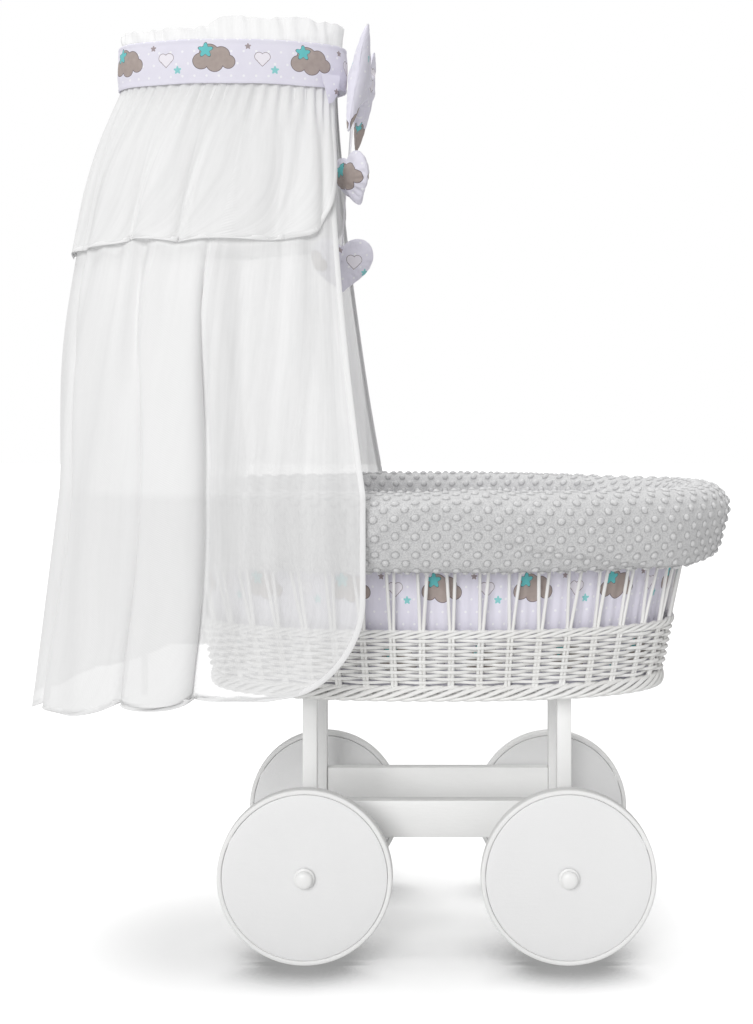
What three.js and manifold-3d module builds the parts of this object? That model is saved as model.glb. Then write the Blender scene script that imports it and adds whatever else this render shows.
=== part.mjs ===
// Baby cradle: a wicker basket on a white wooden stand with four wheels, under a tulle canopy on a rod.
// Millimetres. X runs from the head end (-) to the foot end (+), Y across, Z up from the floor.
import * as THREE from "three";
import { mergeVertices } from "three/addons/utils/BufferGeometryUtils.js";
import Module from "manifold-3d";

const wasm = await Module();
wasm.setup();

// ---- driving dimensions ----------------------------------------------------------------------

const GAP = 0.3; // left between pieces that touch
const BASKET_X = 98; // the basket's middle, from the middle of the whole cradle

// wheels and stand
const WHEEL_RADIUS = 130;
const TYRE_DEPTH = 7;
const WHEEL_WIDTH = 20;
const WHEEL_Y = 190; // middle of a wheel's width
const AXLE_X = 195; // each axle, from the basket's middle
const AXLE_RADIUS = 5;
const BORE_RADIUS = 5.4;
const POST = { x: 22, y: 28, bottom: 110 };
const POST_Y = 98;
const RAIL = { y: 22, bottom: 164, top: 220 };
const BEARER_HEIGHT = 20;
const BOLT_Y = 55;

// basket: the wall leans out evenly from the base to the rim
const BASE_Z = 386;
const BASE_TOP = 398;
const BORDER_TOP = 412;
const WEAVE_TOP = 497;
const RIM_Z = 690;
const RIM = { a: 411, b: 238 }; // half length and half width
const WALL_LEAN = 0.2; // outwards for each millimetre up
const OVAL_POWER = 2.4; // above 2 the oval has fuller corners
const STAKE_PAIRS = 44;
const STAKE_RADIUS = 3;
const MATTRESS = { a: 322, b: 152, height: 50 };

// canopy
const ROD_RADIUS = 5;
const ROD_X = -470;
const ROD_BOTTOM = 360;
const ROD_TOP = 1342;
const RING = { x: -328.5, a: 163, b: 66, z: 1361, wire: 4 };
const BAND = { bottom: 1328, top: 1394 };
const FRILL_TOP = 1443;
const CLOTH_TOP = 1350; // where curtain and valance are sewn to the band
const CLOTH_FREE = 1326; // the cloth hangs straight inside the band down to here
const CURTAIN = { thick: 2.5, foldZ: 700, x: -330, head: 268, side: 292, front: -104, flare: 0.155 };
const CURTAIN_HEM = { head: 352, side: 408, corner: 140 };
const VALANCE = { thick: 2.2, out: 3.2, hem: 1062, corner: 62 };
const FRONT_GAP = 0.17; // radians of ring left bare on each side of the front

// ---- materials -------------------------------------------------------------------------------

const paint = (color, roughness, metalness = 0) =>
  new THREE.MeshStandardMaterial({ color, roughness, metalness });
const WHITE_WOOD = paint(0xf1f1ef, 0.45);
const TYRE_WHITE = paint(0xf3f3f2, 0.6);
const CAP_WHITE = paint(0xf6f6f5, 0.35);
const STEEL = paint(0xb9bbbd, 0.3, 1);
const WICKER = paint(0xeeeeec, 0.55);
const MINKY = paint(0xc4c5c6, 0.95);
const PRINT = paint(0xdcd8ea, 0.85);
const COTTON = paint(0xf2f0ee, 0.9);
const TULLE = paint(0xf8f8f8, 0.8);
const CORD = paint(0xf4f2f4, 0.5);
const ROD_WHITE = paint(0xf0f0ef, 0.3, 0.4);

// ---- solids ----------------------------------------------------------------------------------

const cradle = new THREE.Group();
cradle.position.x = BASKET_X;
const root = new THREE.Group();
root.add(cradle);

function add(name, geometry, material, x = 0, y = 0, z = 0) {
  geometry.computeVertexNormals();
  const mesh = new THREE.Mesh(geometry, material);
  mesh.name = name;
  mesh.position.set(x, y, z);
  cradle.add(mesh);
  return mesh;
}

// A closed geometry with its vertices merged, as a solid that can be joined and cut.
function solidOf(geometry) {
  const loose = geometry.index ? geometry.toNonIndexed() : geometry;
  const bare = new THREE.BufferGeometry().setAttribute("position", loose.getAttribute("position"));
  const merged = mergeVertices(bare, 1e-4);
  const vertProperties = merged.attributes.position.array;
  const triVerts = new Uint32Array(merged.index.array);
  const solid = new wasm.Manifold(new wasm.Mesh({ numProp: 3, vertProperties, triVerts }));
  if (solid.volume() > 0) return solid;
  for (let i = 0; i < triVerts.length; i += 3)
    [triVerts[i + 1], triVerts[i + 2]] = [triVerts[i + 2], triVerts[i + 1]];
  return new wasm.Manifold(new wasm.Mesh({ numProp: 3, vertProperties, triVerts }));
}

function geometryOf(solid) {
  const { vertProperties, triVerts } = solid.getMesh();
  return new THREE.BufferGeometry()
    .setAttribute("position", new THREE.BufferAttribute(vertProperties, 3))
    .setIndex(new THREE.BufferAttribute(triVerts, 1));
}

const faceOut = (geometry) => geometryOf(solidOf(geometry));
const join = (pieces) => geometryOf(pieces.map(solidOf).reduce((a, b) => a.add(b)));
const cut = (geometry, tools) =>
  geometryOf(tools.map(solidOf).reduce((a, b) => a.subtract(b), solidOf(geometry)));

// A closed surface through rows of points, each row a loop. The rows close into a ring where wrap is
// true; otherwise the first and last rows are filled, by strips between each point and its opposite.
function loft(rows, wrap) {
  const count = rows[0].length;
  const at = (row, j) => (row % rows.length) * count + (j % count);
  const index = [];
  const last = wrap ? rows.length : rows.length - 1;
  for (let i = 0; i < last; i++)
    for (let j = 0; j < count; j++) {
      index.push(at(i, j), at(i, j + 1), at(i + 1, j + 1));
      index.push(at(i, j), at(i + 1, j + 1), at(i + 1, j));
    }
  if (!wrap)
    for (let k = 0; k < count / 2 - 1; k++) {
      const strip = [k, k + 1, count - 2 - k, count - 1 - k];
      const [a, b, c, d] = strip;
      const [e, f, g, h] = strip.map((j) => at(last, j));
      index.push(a, c, b, a, d, c, e, f, g, e, g, h);
    }
  const positions = rows.flat().flatMap((p) => p.toArray());
  return faceOut(
    new THREE.BufferGeometry()
      .setAttribute("position", new THREE.Float32BufferAttribute(positions, 3))
      .setIndex(index),
  );
}

function onOval(angle, a, b, z, power = OVAL_POWER) {
  const c = Math.cos(angle);
  const s = Math.sin(angle);
  const x = a * Math.sign(c) * Math.abs(c) ** (2 / power);
  const y = b * Math.sign(s) * Math.abs(s) ** (2 / power);
  return new THREE.Vector3(x, y, z);
}

// An oval body: profile lists [out, z] around one cross-section, where out is added to both half axes.
function ovalBody(profile, { a, b }, segments, wrap = true, power = OVAL_POWER) {
  const rows = profile.map(([out, z]) =>
    Array.from({ length: segments }, (_, j) =>
      onOval((2 * Math.PI * (j + 0.5)) / segments, a + out, b + out, z, power),
    ),
  );
  return loft(rows, wrap);
}

// A body of revolution about Y; profile lists [radius, y], with a flat side at the bottom.
function turned(profile, segments) {
  const points = profile.map(([radius, y]) => new THREE.Vector2(radius, y));
  return faceOut(new THREE.LatheGeometry(points, segments, Math.PI / segments));
}

const ring = (inner, outer, from, to, segments) =>
  turned([[inner, from], [outer, from], [outer, to], [inner, to], [inner, from]], segments);

function box(x, y, z, at = [0, 0, 0]) {
  return new THREE.BoxGeometry(x, y, z).translate(...at);
}

function pinY(radius, length, at, segments = 12) {
  return new THREE.CylinderGeometry(radius, radius, length, segments, 1, false, Math.PI / segments)
    .translate(...at);
}

const pinZ = (radius, from, to, x, y, segments = 12) =>
  new THREE.CylinderGeometry(radius, radius, to - from, segments)
    .rotateX(Math.PI / 2)
    .translate(x, y, (from + to) / 2);

// A straight round bar between two points.
function bar(from, to, radius, segments) {
  const along = to.clone().sub(from);
  const turn = new THREE.Quaternion().setFromUnitVectors(
    new THREE.Vector3(0, 1, 0),
    along.clone().normalize(),
  );
  const middle = from.clone().add(to).multiplyScalar(0.5);
  return new THREE.CylinderGeometry(radius, radius, along.length(), segments)
    .applyQuaternion(turn)
    .translate(...middle.toArray());
}

// A tube of the given number of sides along a curve.
function tube(curve, radius, sides, steps) {
  const corners = Array.from({ length: sides }, (_, i) => {
    const angle = (2 * Math.PI * i) / sides;
    return new THREE.Vector2(radius * Math.cos(angle), radius * Math.sin(angle));
  });
  return faceOut(
    new THREE.ExtrudeGeometry(new THREE.Shape(corners), { steps, extrudePath: curve }),
  );
}

// A stuffed cloth shape: an outline in X and Y swelling to its full thickness away from its edge.
function pillow(outline, edge, thickness, swell) {
  const rise = (thickness - edge) / 2;
  return faceOut(
    new THREE.ExtrudeGeometry(outline, {
      depth: edge,
      curveSegments: 5,
      bevelThickness: rise,
      bevelSize: swell,
      bevelOffset: -swell,
      bevelSegments: 3,
    }).translate(0, 0, -edge / 2),
  );
}

// ---- stand and wheels ------------------------------------------------------------------------

const ENDS = [["head", -AXLE_X], ["foot", AXLE_X]];
const SIDES = [["near", -1], ["far", 1]];
const WHEEL_SEGMENTS = 32;
const CAP = { flange: 14, dome: 11.5, height: 14 };
const WASHER = 2;

const postTop = BASE_Z - GAP;
const bearerTop = BASE_Z - GAP;
const wheelFace = WHEEL_Y + WHEEL_WIDTH / 2;
const washerFace = wheelFace + GAP + WASHER;
const capFace = washerFace + GAP;
const axleEnd = capFace + CAP.height / 2;

function addPost(name, x, y) {
  const height = postTop - POST.bottom;
  const block = box(POST.x, POST.y, height, [x, y, POST.bottom + height / 2]);
  add(name, cut(block, [pinY(BORE_RADIUS, 2 * POST.y, [x, y, WHEEL_RADIUS])]), WHITE_WOOD);
}

function addWheel(end, side, x, sign) {
  const name = `${end}_${side}`;
  const half = WHEEL_WIDTH / 2;
  const discRadius = WHEEL_RADIUS - TYRE_DEPTH;
  const treadRadius = WHEEL_RADIUS / Math.cos(Math.PI / WHEEL_SEGMENTS);
  const disc = ring(BORE_RADIUS, discRadius, -half, half, WHEEL_SEGMENTS);
  const tyre = ring(discRadius + GAP, treadRadius, -half, half, WHEEL_SEGMENTS);
  add(`wheel_${name}`, disc, WHITE_WOOD, x, sign * WHEEL_Y, WHEEL_RADIUS);
  add(`tyre_${name}`, tyre, TYRE_WHITE, x, sign * WHEEL_Y, WHEEL_RADIUS);

  const inside = POST_Y + POST.y / 2 + GAP;
  const outside = WHEEL_Y - half - GAP;
  const sleeve = ring(BORE_RADIUS, 10, inside, outside, 12);
  const washer = ring(BORE_RADIUS, 15, wheelFace + GAP, washerFace, 12);
  const cap = turned(
    [
      [0, axleEnd + GAP],
      [BORE_RADIUS, axleEnd + GAP],
      [BORE_RADIUS, capFace],
      [CAP.flange, capFace],
      [CAP.flange, capFace + 2.5],
      [CAP.dome, capFace + 3],
      [CAP.dome, capFace + 9],
      [0.6 * CAP.dome, capFace + CAP.height - 1],
      [0, capFace + CAP.height],
    ],
    12,
  );
  const pieces = [["axle_sleeve", sleeve, STEEL], ["washer", washer, STEEL], ["axle_cap", cap, CAP_WHITE]];
  for (const [kind, geometry, material] of pieces) {
    const turnedRound = sign < 0 ? geometry.rotateZ(Math.PI) : geometry;
    add(`${kind}_${name}`, turnedRound, material, x, 0, WHEEL_RADIUS);
  }
}

function addBearer(end, x) {
  const between = 2 * (POST_Y - POST.y / 2 - GAP);
  const middle = bearerTop - BEARER_HEIGHT / 2;
  const holes = SIDES.map(([, sign]) => pinZ(3.4, bearerTop - 30, bearerTop + 5, x, sign * BOLT_Y));
  add(`bearer_${end}`, cut(box(POST.x, between, BEARER_HEIGHT, [x, 0, middle]), holes), WHITE_WOOD);
  for (const [side, sign] of SIDES) {
    const under = bearerTop - BEARER_HEIGHT - GAP;
    const shank = pinZ(3, under - 1, BASE_TOP - 3, x, sign * BOLT_Y);
    const head = pinZ(7, under - 4, under, x, sign * BOLT_Y);
    add(`basket_bolt_${end}_${side}`, join([shank, head]), STEEL);
  }
}

for (const [end, x] of ENDS) {
  add(`axle_${end}`, pinY(AXLE_RADIUS, 2 * axleEnd, [0, 0, 0]), STEEL, x, 0, WHEEL_RADIUS);
  addBearer(end, x);
  for (const [side, sign] of SIDES) {
    addPost(`post_${end}_${side}`, x, sign * POST_Y);
    addWheel(end, side, x, sign);
  }
}

for (const [side, sign] of SIDES) {
  const length = 2 * AXLE_X - POST.x - 2 * GAP;
  const y = sign * (POST_Y + (POST.y - RAIL.y) / 2);
  const rail = box(length, RAIL.y, RAIL.top - RAIL.bottom);
  add(`side_rail_${side}`, rail, WHITE_WOOD, 0, y, (RAIL.top + RAIL.bottom) / 2);
}

// ---- basket ----------------------------------------------------------------------------------

const WALL_SEGMENTS = 40;
const wallOut = (z) => (z - RIM_Z) * WALL_LEAN; // the wall's middle, from the rim's oval
const alongWall = (points) => points.map(([out, z]) => [wallOut(z) + out, z]);

const boardOut = wallOut(BASE_Z) - 5;
const boltHoles = ENDS.flatMap(([, x]) =>
  SIDES.map(([, sign]) => pinZ(3.4, BASE_Z - 5, BASE_TOP - 2.5, x, sign * BOLT_Y)),
);
const board = ovalBody([[boardOut, BASE_Z], [boardOut, BASE_TOP]], RIM, WALL_SEGMENTS, false);
add("basket_base", cut(board, boltHoles), WICKER);

const borderInner = boardOut + 2 * GAP;
const border = [
  [borderInner, BASE_Z],
  [wallOut(BASE_Z) + 5, BASE_Z],
  [wallOut(BASE_Z) + 10, BASE_Z + 8],
  [wallOut(BASE_Z) + 10, BORDER_TOP - 5],
  [wallOut(BASE_Z) + 6, BORDER_TOP],
  [borderInner, BORDER_TOP],
];
add("base_border", ovalBody(border, RIM, WALL_SEGMENTS), WICKER);

const weave = alongWall([
  [-3.5, BORDER_TOP + GAP],
  [3.5, BORDER_TOP + GAP],
  [3.5, WEAVE_TOP - 15],
  [6.5, WEAVE_TOP - 11],
  [5.5, WEAVE_TOP - 1],
  [0, WEAVE_TOP],
  [-3.5, WEAVE_TOP - 1],
]);
add("woven_wall", ovalBody(weave, RIM, WALL_SEGMENTS), WICKER);

// Open stakes stand in pairs that meet at the weave and spread towards the rim hoop.
function stakeCage() {
  const hoopZ = RIM_Z - 5;
  const ovalAt = (z) => {
    const corners = Array.from({ length: 96 }, (_, i) => {
      return onOval((2 * Math.PI * i) / 96, RIM.a + wallOut(z), RIM.b + wallOut(z), z);
    });
    return new THREE.CatmullRomCurve3(corners, true);
  };
  const feet = ovalAt(WEAVE_TOP + 1.5);
  const heads = ovalAt(hoopZ);
  const hoop = ovalBody(
    [[-4, 0], [0, -4], [4, 0], [0, 4]].map(([out, up]) => [wallOut(hoopZ) + out, hoopZ + up]),
    RIM,
    WALL_SEGMENTS,
  );
  const besideAtFoot = (STAKE_RADIUS + GAP) / feet.getLength();
  const stakes = [];
  for (let pair = 0; pair < STAKE_PAIRS; pair++)
    for (const side of [-1, 1]) {
      const foot = feet.getPointAt((pair + 0.5) / STAKE_PAIRS + side * besideAtFoot);
      const head = heads.getPointAt((pair + 0.5 + side / 4) / STAKE_PAIRS);
      stakes.push(bar(foot, head, STAKE_RADIUS, 3));
    }
  return join([hoop, ...stakes]);
}
add("stakes_and_rim", stakeCage(), WICKER);

const LINER_OUT = -12; // the liner's outer face, from the wall's middle
const LINER_THICK = 2.5;
const liner = alongWall([
  [LINER_OUT - LINER_THICK, BASE_TOP + 1],
  [LINER_OUT, BASE_TOP + 1],
  [LINER_OUT, RIM_Z - 6],
  [LINER_OUT - LINER_THICK, RIM_Z - 6],
]);
add("liner", ovalBody(liner, RIM, WALL_SEGMENTS), PRINT);

// The padded bumper is folded over the rim: a fat outer roll, a rounded top and a thinner inner skirt,
// with a slot up the middle for the stakes, the rim hoop and the liner.
const slotBottom = 600;
const bumper = [
  [wallOut(slotBottom) + 6, slotBottom - 3],
  [6, 591],
  [29, 600],
  [43, 624],
  [47, 650],
  [42, 677],
  [28, 696],
  [6, 704],
  [-20, 701],
  [-40, 684],
  [-51, 655],
  [-54, 625],
  [-48, 602],
  [wallOut(slotBottom) - 17, slotBottom],
  [wallOut(RIM_Z) - 17, RIM_Z + 3],
  [wallOut(RIM_Z) + 6, RIM_Z + 3],
];
add("rim_bumper", ovalBody(bumper, RIM, WALL_SEGMENTS), MINKY);

const mattressZ = BASE_TOP + GAP;
const mattress = [
  [-5, mattressZ],
  [0, mattressZ + 8],
  [0, mattressZ + MATTRESS.height - 10],
  [-8, mattressZ + MATTRESS.height],
];
add("mattress", ovalBody(mattress, MATTRESS, 32, false), COTTON);

// ---- rod bracket, clamp knob and rod ---------------------------------------------------------

const SLEEVE = { bottom: 440, top: 520, radius: 10 };
const SCREW_Z = 480;
const KNOB = { radius: 16, thick: 12, x: -486 };

// The bracket hooks over the woven wall at the head end and holds an upright sleeve outside it.
function rodBracket() {
  const lean = Math.atan(WALL_LEAN);
  const hookX = -(RIM.a + wallOut(WEAVE_TOP));
  const hook = [
    box(3, 18, 48, [6.5, 0, -19.5]),
    box(22, 18, 3, [-1.5, 0, 4.5]),
    box(4, 40, 58, [-10.5, 0, -23]),
  ].map((piece) => piece.rotateY(-lean).translate(hookX, 0, WEAVE_TOP));
  const armFrom = hookX - 5;
  const arm = box(armFrom - ROD_X, 12, 22, [(armFrom + ROD_X) / 2, 0, SCREW_Z]);
  const sleeve = pinZ(SLEEVE.radius, SLEEVE.bottom, SLEEVE.top, ROD_X, 0, 16);
  const boss = box(9, 14, 18, [ROD_X - SLEEVE.radius, 0, SCREW_Z]);
  const bore = pinZ(ROD_RADIUS + 0.6, SLEEVE.bottom - 1, SLEEVE.top + 1, ROD_X, 0, 16);
  const screwHole = new THREE.CylinderGeometry(3.6, 3.6, 30, 12)
    .rotateZ(Math.PI / 2)
    .translate(ROD_X - 15, 0, SCREW_Z);
  return cut(join([...hook, arm, sleeve, boss]), [bore, screwHole]);
}
add("rod_bracket", rodBracket(), STEEL);

function clampKnob() {
  const alongX = (geometry) => geometry.rotateZ(Math.PI / 2);
  const tip = ROD_X - ROD_RADIUS - 0.6;
  const shank = alongX(new THREE.CylinderGeometry(3, 3, tip - KNOB.x + 4, 12));
  const head = alongX(new THREE.CylinderGeometry(KNOB.radius, KNOB.radius - 3, KNOB.thick, 12));
  const grooves = Array.from({ length: 6 }, (_, i) => {
    const angle = (Math.PI * i) / 3;
    const groove = alongX(new THREE.CylinderGeometry(4, 4, 3 * KNOB.thick, 8));
    return groove.translate(0, (KNOB.radius + 2) * Math.cos(angle), (KNOB.radius + 2) * Math.sin(angle));
  });
  const star = cut(head, grooves).translate(KNOB.x - KNOB.thick / 2, 0, 0);
  return join([shank.translate((tip + KNOB.x - 4) / 2, 0, 0), star]);
}
add("clamp_knob", clampKnob(), CAP_WHITE, 0, 0, SCREW_Z);

const ferruleX = RING.x - RING.a;
const rodPath = new THREE.CatmullRomCurve3(
  [
    [ROD_X, ROD_BOTTOM],
    [ROD_X, 700],
    [ROD_X, 1050],
    [ROD_X - 3, 1150],
    [ferruleX + 4, 1250],
    [ferruleX, 1310],
    [ferruleX, ROD_TOP],
  ].map(([x, z]) => new THREE.Vector3(x, 0, z)),
);
add("canopy_rod", tube(rodPath, ROD_RADIUS, 12, 20), ROD_WHITE);

const ferruleTop = RING.z - RING.wire - GAP;
const ferruleBottom = ROD_TOP - 24;
add(
  "ring_ferrule",
  cut(pinZ(7.6, ferruleBottom, ferruleTop, ferruleX, 0), [
    pinZ(ROD_RADIUS + 0.9, ferruleBottom - 1, ROD_TOP + GAP, ferruleX, 0),
  ]),
  STEEL,
);

// ---- canopy cloth ----------------------------------------------------------------------------

const hoopSides = Array.from({ length: 6 }, (_, i) => {
  const angle = (Math.PI * i) / 3;
  return [RING.wire * Math.cos(angle), RING.z + RING.wire * Math.sin(angle)];
});
const CANOPY_SEGMENTS = 32;
add("canopy_ring", ovalBody(hoopSides, RING, CANOPY_SEGMENTS, true, 2), ROD_WHITE, RING.x);

const BAND_OUT = { inner: 16.2, outer: 19.5 };
const band = [
  [BAND_OUT.inner, BAND.bottom],
  [BAND_OUT.outer, BAND.bottom],
  [BAND_OUT.outer, BAND.top],
  [BAND_OUT.inner, BAND.top],
];
add("canopy_band", ovalBody(band, RING, CANOPY_SEGMENTS, true, 2), PRINT, RING.x);

const frillBottom = BAND.top + GAP;
const frill = [
  [12, frillBottom],
  [15, frillBottom],
  [13, (frillBottom + FRILL_TOP) / 2],
  [17, FRILL_TOP],
  [14.5, FRILL_TOP],
  [10.5, (frillBottom + FRILL_TOP) / 2],
];
add("canopy_frill", ovalBody(frill, RING, CANOPY_SEGMENTS, true, 2), TULLE, RING.x);

const clamp01 = (t) => Math.min(1, Math.max(0, t));
const mix = (from, to, t) => from + (to - from) * t;

// The cloth hangs from the ring and spreads down over the basket's head half. turn runs from -1 at the
// near front edge, round the head end at 0, to 1 at the far front edge. out is the distance outwards.
function drape(turn, z, out) {
  const side = Math.sign(turn);
  const onRing = turn * (Math.PI - FRONT_GAP);
  const reach = 10.2 + out;
  const ringX = RING.x - (RING.a + reach) * Math.cos(onRing);
  const ringY = (RING.b + reach) * Math.sin(onRing);

  const roundShare = 0.66; // the share of the width that goes round the head end
  const bend = (Math.min(Math.abs(turn), roundShare) / roundShare) * (Math.PI / 2);
  const straight = clamp01((Math.abs(turn) - roundShare) / (1 - roundShare));
  const flare = Math.max(0, CURTAIN.foldZ - z) * CURTAIN.flare;
  const headX = CURTAIN.x - (CURTAIN.head + flare + out) * Math.cos(bend);
  const openX = mix(headX, CURTAIN.front, straight);
  const openY = side * (CURTAIN.side + 0.03 * flare + out) * Math.sin(bend);

  const fall = clamp01((CLOTH_FREE - z) / (CLOTH_FREE - CURTAIN.foldZ));
  const headFall = 1 - (1 - fall) ** 3;
  const frontFall = fall ** 1.6;
  const fallX = mix(headFall, frontFall, straight ** 0.5);
  return new THREE.Vector3(mix(ringX, openX, fallX), mix(ringY, openY, fall), z);
}

// How much of the half width is left at height z, above a hem whose front corners are rounded.
function cornerShare(z, hem, radius) {
  const below = clamp01((hem + radius - z) / radius);
  return 1 - (radius * (1 - Math.sqrt(1 - below ** 2))) / 670;
}

// A thin cloth between the offsets from and to, which stands off by stand more once it hangs free.
function hangingCloth({ hemAt, frontHem, corner, from, to, stand, rows, columns }) {
  const column = (u, out) => {
    const offset = mix(from, to, out);
    const free = Array.from({ length: rows + 1 }, (_, i) => {
      const turn = u * cornerShare(mix(CLOTH_FREE, frontHem, i / rows), frontHem, corner);
      return drape(turn, mix(CLOTH_FREE, hemAt(turn), i / rows), offset + (i > 0 ? stand : 0));
    });
    return [drape(u, CLOTH_TOP, offset), ...free];
  };
  const sections = Array.from({ length: columns + 1 }, (_, j) => {
    const u = (2 * j) / columns - 1;
    return [...column(u, 1), ...column(u, 0).reverse()];
  });
  return loft(sections, false);
}

const curtainHem = (turn) =>
  mix(CURTAIN_HEM.head, CURTAIN_HEM.side, THREE.MathUtils.smoothstep(Math.abs(turn), 0, 0.85));
add(
  "curtain",
  hangingCloth({
    hemAt: curtainHem,
    frontHem: 420,
    corner: CURTAIN_HEM.corner,
    from: -CURTAIN.thick / 2,
    to: CURTAIN.thick / 2,
    stand: 0,
    rows: 12,
    columns: 24,
  }),
  TULLE,
);

add(
  "valance",
  hangingCloth({
    hemAt: (turn) => VALANCE.hem + 22 * Math.abs(turn),
    frontHem: VALANCE.hem + 30,
    corner: VALANCE.corner,
    from: VALANCE.out - VALANCE.thick / 2,
    to: VALANCE.out + VALANCE.thick / 2,
    stand: 7,
    rows: 10,
    columns: 24,
  }),
  TULLE,
);

// ---- bow, hearts and their cords ---------------------------------------------------------------

const BOW = { x: -122, z: 1330, tilt: 0.18, halfSpan: 112, half: 92, thick: 34 };
const KNOT = { x: 38, y: 40, z: 56 };

// One side of the bow: narrow at the knot, flaring to a tall rounded end.
function bowLoop() {
  const waist = KNOT.z / 2 - 6;
  const from = KNOT.y / 2 + GAP;
  const outline = new THREE.Shape();
  outline.moveTo(from, -waist);
  outline.quadraticCurveTo(0.55 * BOW.halfSpan, -0.55 * BOW.half, 0.84 * BOW.halfSpan, -BOW.half);
  outline.quadraticCurveTo(1.12 * BOW.halfSpan, 0, 0.84 * BOW.halfSpan, BOW.half);
  outline.quadraticCurveTo(0.55 * BOW.halfSpan, 0.55 * BOW.half, from, waist);
  return pillow(outline, 6, BOW.thick, 12);
}

const bow = new THREE.Group();
bow.position.set(BOW.x, 0, BOW.z);
bow.rotation.y = BOW.tilt;
cradle.add(bow);

// The outline's X becomes the cradle's Y, and its Y becomes up.
const upright = (geometry) => geometry.rotateX(Math.PI / 2).rotateZ(Math.PI / 2);
for (const [side, sign] of SIDES) {
  const loop = upright(bowLoop());
  bow.add(add(`bow_loop_${side}`, sign < 0 ? loop.rotateZ(Math.PI) : loop, PRINT));
}
const knotRows = [[0.62, -1], [0.92, -0.62], [1, 0], [0.92, 0.62], [0.62, 1]].map(([size, up]) =>
  Array.from({ length: 12 }, (_, i) => {
    const angle = (Math.PI * (i + 0.5)) / 6;
    return onOval(angle, (size * KNOT.x) / 2, (size * KNOT.y) / 2, (up * KNOT.z) / 2, 3);
  }),
);
bow.add(add("bow_knot", loft(knotRows, false), PRINT));

// The band's loose end hangs in a point below the band, on the near side of the bow.
const TAIL = [[0, 0], [40, 0], [34, -28], [16, -46]];
const tailShape = new THREE.Shape(TAIL.map((corner) => new THREE.Vector2(...corner)));
const tail = new THREE.ExtrudeGeometry(tailShape, { depth: 3, bevelEnabled: false });
const tailMesh = add("band_tail", faceOut(tail.rotateX(Math.PI / 2)), PRINT, -184, -66.5, BAND.bottom + 16);
tailMesh.rotation.z = 0.66;

// A heart of the given width, its cleft at the top middle.
function heart(width) {
  const w = width / 2;
  const outline = new THREE.Shape();
  outline.moveTo(0, 0.52 * w);
  outline.bezierCurveTo(0.25 * w, 0.95 * w, w, 0.95 * w, w, 0.28 * w);
  outline.bezierCurveTo(w, -0.3 * w, 0.4 * w, -0.55 * w, 0, -0.92 * w);
  outline.bezierCurveTo(-0.4 * w, -0.55 * w, -w, -0.3 * w, -w, 0.28 * w);
  outline.bezierCurveTo(-w, 0.95 * w, -0.25 * w, 0.95 * w, 0, 0.52 * w);
  return pillow(outline, 5, 30, 11).rotateX(Math.PI / 2);
}

const CORD_RADIUS = 1.25;
const CORD_TOP = 1290;
// [name, heart x, heart y, heart z, turn about Z, cord's top x]
const HEARTS = [
  ["upper", -139, -36, 1178, -1.13, -132],
  ["lower", -155, 30, 1048, 0.05, -140],
];
for (const [name, x, y, z, turn, topX] of HEARTS) {
  const width = name === "upper" ? 94 : 100;
  const mesh = add(`heart_${name}`, heart(width), PRINT, x, y, z);
  mesh.rotation.z = turn;
  const cordEnd = z + 0.26 * width + 3; // just above the cleft
  const route = new THREE.CatmullRomCurve3([
    new THREE.Vector3(topX, y, CORD_TOP),
    new THREE.Vector3(mix(topX, x, 0.3), y, mix(CORD_TOP, cordEnd, 0.33)),
    new THREE.Vector3(mix(topX, x, 0.72), y, mix(CORD_TOP, cordEnd, 0.67)),
    new THREE.Vector3(x, y, cordEnd),
  ]);
  add(`cord_${name}`, tube(route, CORD_RADIUS, 8, name === "upper" ? 12 : 26), CORD);
}

export default root;
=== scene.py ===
import math

import bpy
import numpy as np
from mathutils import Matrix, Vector


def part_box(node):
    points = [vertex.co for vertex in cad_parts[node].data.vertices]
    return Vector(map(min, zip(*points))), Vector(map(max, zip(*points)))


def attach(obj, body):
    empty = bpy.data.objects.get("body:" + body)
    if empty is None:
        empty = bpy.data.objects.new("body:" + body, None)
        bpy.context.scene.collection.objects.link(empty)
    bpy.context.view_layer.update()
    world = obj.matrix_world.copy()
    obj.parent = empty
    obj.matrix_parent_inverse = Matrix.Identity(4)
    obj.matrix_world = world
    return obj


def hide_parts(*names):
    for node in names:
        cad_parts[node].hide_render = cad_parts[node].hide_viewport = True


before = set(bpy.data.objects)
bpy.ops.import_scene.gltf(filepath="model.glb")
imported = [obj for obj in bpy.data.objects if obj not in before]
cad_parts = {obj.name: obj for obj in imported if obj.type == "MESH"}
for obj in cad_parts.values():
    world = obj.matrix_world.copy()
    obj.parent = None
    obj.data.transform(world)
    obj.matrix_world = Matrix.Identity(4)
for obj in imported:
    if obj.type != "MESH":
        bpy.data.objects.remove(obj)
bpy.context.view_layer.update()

STAND = "stand_and_basket"
CANOPY = "canopy"
MM = 0.001
FULL = 2 * math.pi


def middle(node):
    low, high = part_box(node)
    return (low + high) / 2


def half(node):
    low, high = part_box(node)
    return (high - low) / 2


def add_object(name, data):
    made = bpy.data.objects.new(name, data)
    bpy.context.collection.objects.link(made)
    return made


def spots(x, y, z):
    """Points with the given coordinates, which are spread to one common grid."""
    return np.stack(np.broadcast_arrays(x, y, z), axis=-1)


def shares(count):
    """Even steps from 0 up to 1, without the 1, for a loop."""
    return np.linspace(0, 1, count, endpoint=False)


def travelled(points):
    """The distance gone along a path at each of its points."""
    return np.concatenate([[0], np.cumsum(np.linalg.norm(np.diff(points, axis=0), axis=1))])


def bent(value, power):
    """A power of the value's size, with the value's sign."""
    return np.sign(value) * np.abs(value) ** power


def ease(t):
    """A smooth step from 0 to 1, for t from 0 to 1."""
    return t * t * (3 - 2 * t)


def rounded(value, low, high):
    """0 below low, 1 above high, smooth between."""
    return ease(np.clip((value - low) / (high - low), 0, 1))


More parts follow.
